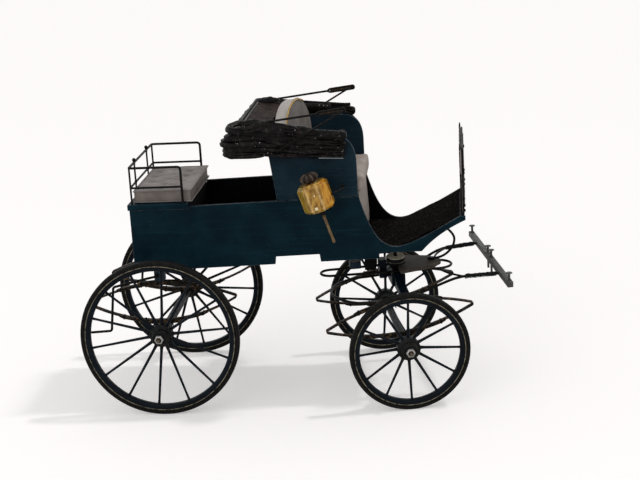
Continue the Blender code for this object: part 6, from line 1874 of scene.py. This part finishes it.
def hood_flap(name, level, lift, seed, body):
    """A thin lip of leather that stands out between two folds."""
    draw = random.Random(seed)
    line = hood_line(ROLL_REAR[level], level, ROLL_Y + 3.6, lift, 163.0, ROLL_CORNER, 1.6)
    path = []
    scale = []
    for i, point in enumerate(line):
        wave = ripple(i * 0.055, seed, 1.0)
        flutter = ripple(i * 0.22, seed, 5.0)
        out = Vector((point.x - HOOD_MIDDLE_X if point.x < 84.0 else 0.0, point.y, 0.0)).normalized()
        spot = point + out * (0.5 * flutter) + Vector((0.0, 0.0, 1.3 * wave + 0.5 * flutter))
        path.append(settled(spot, level))
        ends = min(1.0, min(i, len(line) - 1 - i) / 6.0)
        tall = (0.25 + 0.75 * ends) * (0.75 + 0.9 * max(0.0, wave + 0.3))
        scale.append((0.9 + 0.3 * draw.random(), tall))
    bm = bmesh.new()
    sweep(bm, path, bar_section(0.9, 2.9, 0.4), scale=scale)
    piece(name, bm, hood_leather, body, angle=80)


for level, lift, seed, body in ((0, 2.6, 3, "hood_low"), (1, 3.0, 12, "hood_mid")):
    hood_flap(f"hood_flap_{seed}", level, lift, seed, body)


def near_drop(x, y):
    """How far the near arm of the bow sinks toward the front."""
    return BOW_DROP * eased(x, 92.0, 168.0) if y < 0.0 else 0.0


def hood_top_parts():
    """All that lies on the top roll: bow, pale strip, curtain, lining, hem, pads and knobs."""
    lift = ROLL_HALF_HEIGHT * roll_swell(95.0) + GAP + 1.4
    rear_lift = 0.9
    line = hood_line(BOW_X, 2, 53.5, lift, 165.5, 3.0, 3.0)
    for point in line:
        if point.x < 94.0:
            point.z += rear_lift
        point.z -= near_drop(point.x, point.y)
    bm = bmesh.new()
    sweep(bm, line, bar_section(2.2, 2.8, 0.5))
    piece("hood_hoop_stick", bm, iron, "hood_top", stands_for=["hood_bow"], angle=35)
    bar_z = roll_height(BOW_X, 2) + lift + rear_lift

    bm = bmesh.new()
    strip = [Vector((82.0, y, bar_z - 1.6 + 0.25 * ripple(y * 0.2, 1.0, 6.0))) for y in range(-45, 46, 3)]
    sweep(bm, strip, bar_section(0.9, 3.0, 0.2))
    piece("hood_pale_strip", bm, pale_strip, "hood_top", angle=30)

    head = Vector((82.6, 0.0, bar_z - 1.2))
    foot = Vector((102.5, 0.0, 245.8))
    half = 48.2

    def point(u, v):
        spot = head.lerp(foot, v)
        y = (u * 2.0 - 1.0) * half
        sag = 1.5 * math.sin(math.pi * v) * (1.0 - (2.0 * u - 1.0) ** 4)
        wrinkle = 0.6 * ripple(y * 0.11, v * 1.8, 3.0) + 0.4 * noise.noise(
            Vector((y * 0.3, v * 5.0, 7.0)))
        rise = 2.2 * abs(2.0 * u - 1.0) ** 8
        sunk = Vector((-0.36, 0.0, -0.93)) * (sag + wrinkle * (0.3 + 0.7 * v))
        return spot + sunk + Vector((0.0, y, rise * v))

    bm = bmesh.new()
    grid(bm, 110, 24, point)
    curtain = make("hood_back_curtain", bm, curtain_leather, angle=80)
    thicken(curtain, 0.6)
    tell(curtain, "hood_top", ["hood_curtain"])

    lining = [[(x, side * (50.6 - 0.012 * (x - 82.0))) for x in range(82, 150, 2)] for side in (-1, 1)]
    hem = [[(83.6, y) for y in range(-46, 47, 2)]]
    for word, lines, radius in (("lining", lining, 2.2), ("hem", hem, 1.1)):
        bm = bmesh.new()
        for run in lines:
            path = []
            for x, y in run:
                z = roll_height(x, 2) + lift - 2.6 - near_drop(x, y)
                stray = 1.4 * ripple(x * 0.15, y * 0.15, 2.0)
                path.append(Vector((x, y, z)) + Vector((0.4, 0.7, 0.9)) * stray)
            scale = [(0.8 + 0.7 * abs(noise.noise(p * 0.17)), 0.75 + 0.8 * abs(noise.noise(p * 0.12)))
                     for p in path]
            sweep(bm, path, round_section(radius, 14, 1.3), scale=scale)
        piece("hood_" + word, bm, hood_leather, "hood_top", angle=80)

    bm = bmesh.new()
    for side in (-1, 1):
        ball(bm, (89.0, side * 51.6, bar_z - 1.8), 5.0, (2.1, 0.95, 0.82), 24, 40)
    for vert in bm.verts:
        seed = vert.co * 0.2
        vert.co += Vector((0.7, 0.5, 0.9)) * (noise.noise(seed) * 1.6 + 0.6 * noise.noise(seed * 2.3))
    pads = piece("hood_corner_pads", bm, hood_leather, "hood_top", angle=80)

    bm = bmesh.new()
    for side in (-1, 1):
        ball(bm, IRON_START + Vector((0.0, side * IRON_Y, 0.0)), 1.9, (1.0, 0.7, 1.0))
        ball(bm, (92.0, side * 53.0, bar_z + 1.4), 1.2)
    piece("hood_knobs", bm, iron, "hood_top", angle=50)

    bm = bmesh.new()
    edge = [(x, 60.2 + 0.2 * math.sin(x), 219.9 + 0.04 * (168.0 - x)) for x in range(146, 167, 2)]
    for side in (-1, 1):
        wire(bm, [(x, side * y, z) for x, y, z in edge], 0.45, 8)
    piece("hood_pale_edge", bm, pale_cord, "hood_low", angle=60)


hood_top_parts()


def hood_irons(hand, side):
    """The upper iron with its slotted end and web, and the lower iron that meets it."""
    y_a = side * IRON_Y
    y_b = side * 61.25
    start = IRON_START
    elbow = Vector((167.3, 0.0, 260.0))
    run = elbow - start
    along = run.normalized()
    up = Vector((-along.z, 0.0, along.x))
    reach = 1.45
    tip = run.length + 2.0
    slot = tip - 25.0
    flat = Vector((0.0, y_a, 0.0))
    bm = bmesh.new()
    wire(bm, [p + start for p in rounded([flat, along * slot + flat,
                                          along * (slot + 3.0) - up * reach + flat,
                                          along * tip - up * reach + flat,
                                          along * tip + up * reach + flat,
                                          along * (slot + 3.0) + up * reach + flat,
                                          along * (slot + 0.5) + flat], 1.2, 6)], 0.95, up=(0.3, 0, 1))
    piece("hood_iron_" + hand, bm, iron, "iron_upper_" + hand,
          stands_for=["iron_upper_" + hand], angle=45)
    bm = bmesh.new()
    plate = rounded([along * (slot + 3.0) - up * reach, along * (tip - 0.6) - up * reach,
                     along * (tip - 0.6) + up * reach, along * (slot + 3.0) + up * reach], 0.5, 3)
    slab(bm, [(p.x + start.x, p.z + start.z) for p in plate], y_a - 0.55, y_a + 0.55, "Y", 0.15)
    piece("hood_iron_web_" + hand, bm, rusty_iron, "iron_upper_" + hand, angle=35)

    bm = bmesh.new()
    foot = Vector((111.0, 0.0, 228.0))
    wire(bm, rounded([elbow + Vector((0.0, y_a - side * 0.85, 0.0)), elbow + Vector((0.0, y_b, 0.0)),
                      foot + Vector((0.0, y_b, 0.0))], 1.0, 5), 0.85, up=(0.3, 0, 1))
    ball(bm, foot + Vector((0.0, y_b, 0.0)), 1.35, (1.0, 0.7, 1.0))
    piece("hood_stay_" + hand, bm, iron, "iron_lower_" + hand,
          stands_for=["iron_lower_" + hand], angle=45)


hood_irons("right", -1)
hood_irons("left", 1)


# Stage, lights and camera

FLOOR_GLOW = 0.33
WORLD_LIGHT = 0.53
WORLD_SEEN = 1.0
KEY_POWER = 0.70
KEY_SPREAD = 4.0
FILL_POWER = 5.0
PHOTO_WIDTH = 640.0
FOCAL_PIXELS = 1457.71
SENSOR_WIDTH = 36.0


def stage():
    """A pale floor that glows a little to the camera, under a world that looks white."""
    bpy.ops.mesh.primitive_plane_add(size=24.0, location=(0.0, 4.0, 0.0))
    floor = bpy.context.object
    floor.name = "studio_floor"
    made = bpy.data.materials.new("pale_floor")
    made.use_nodes = True
    tree = made.node_tree
    shader = tree.nodes["Principled BSDF"]
    feed(tree, shader.inputs["Base Color"], (0.90, 0.868, 0.848))
    feed(tree, shader.inputs["Roughness"], 0.9)
    feed(tree, shader.inputs["Specular IOR Level"], 0.05)
    seen = add_math(tree, "MULTIPLY", add_node(tree, "LightPath").outputs["Is Camera Ray"], FLOOR_GLOW)
    glow = add_node(tree, "Emission", Color=(1.0, 0.985, 0.975), Strength=seen)
    both = add_node(tree, "AddShader")
    feed(tree, both.inputs[0], shader.outputs[0])
    feed(tree, both.inputs[1], glow.outputs[0])
    feed(tree, tree.nodes["Material Output"].inputs["Surface"], both.outputs[0])
    floor.data.materials.append(made)

    world = bpy.data.worlds.new("studio")
    bpy.context.scene.world = world
    world.use_nodes = True
    tree = world.node_tree
    tree.nodes.clear()
    rays = add_node(tree, "LightPath").outputs
    seen = add_math(tree, "MAXIMUM", rays["Is Camera Ray"], rays["Is Glossy Ray"])
    mix = add_node(tree, "MixShader", Fac=add_math(tree, "MAXIMUM", seen, rays["Is Transmission Ray"]))
    soft = add_node(tree, "Background", Color=(0.97, 0.98, 1.0), Strength=WORLD_LIGHT)
    white = add_node(tree, "Background", Color=(1.0, 1.0, 1.0), Strength=WORLD_SEEN)
    feed(tree, mix.inputs[1], soft.outputs[0])
    feed(tree, mix.inputs[2], white.outputs[0])
    add_node(tree, "OutputWorld", Surface=mix.outputs[0])


def softbox(name, spot, target, size, power):
    """A square soft light that looks at a point."""
    data = bpy.data.lights.new(name, "AREA")
    data.shape = "SQUARE"
    data.size = size
    data.energy = power
    made = stand(name, data)
    made.location = spot
    made.rotation_euler = (Vector(target) - Vector(spot)).to_track_quat("-Z", "Y").to_euler()


def sun(name, spot, power, angle):
    """A distant soft key light from a direction."""
    data = bpy.data.lights.new(name, "SUN")
    data.energy = power
    data.angle = math.radians(angle)
    made = stand(name, data)
    made.rotation_euler = (-Vector(spot)).to_track_quat("-Z", "Y").to_euler()


def camera():
    """The photograph's viewpoint, in the vehicle's frame."""
    spot = Vector((270.1167, -1253.8447, 485.7546))
    yaw, pitch, roll = -0.106463, 0.273335, -0.058693
    ahead = Vector((math.sin(yaw) * math.cos(pitch), math.cos(yaw) * math.cos(pitch), -math.sin(pitch)))
    level = Vector((math.cos(yaw), -math.sin(yaw), 0.0))
    above = level.cross(ahead)
    right = math.cos(roll) * level + math.sin(roll) * above
    up = math.cos(roll) * above - math.sin(roll) * level
    data = bpy.data.cameras.new("photo_camera")
    data.sensor_width = SENSOR_WIDTH
    data.lens = SENSOR_WIDTH * FOCAL_PIXELS / PHOTO_WIDTH
    data.clip_start = 0.01
    data.clip_end = 50.0
    made = stand("photo_camera", data)
    pose = Matrix((right, up, -ahead)).transposed().to_4x4()
    pose.translation = VEHICLE @ spot
    made.matrix_world = pose
    bpy.context.scene.camera = made


stage()
sun("key", (0.58, 0.12, 1.0), KEY_POWER, KEY_SPREAD)
softbox("fill", (-0.6, -1.5, 1.1), (0.0, 0.0, 0.1), 1.2, FILL_POWER)
camera()
bpy.context.scene.view_settings.view_transform = "Standard"
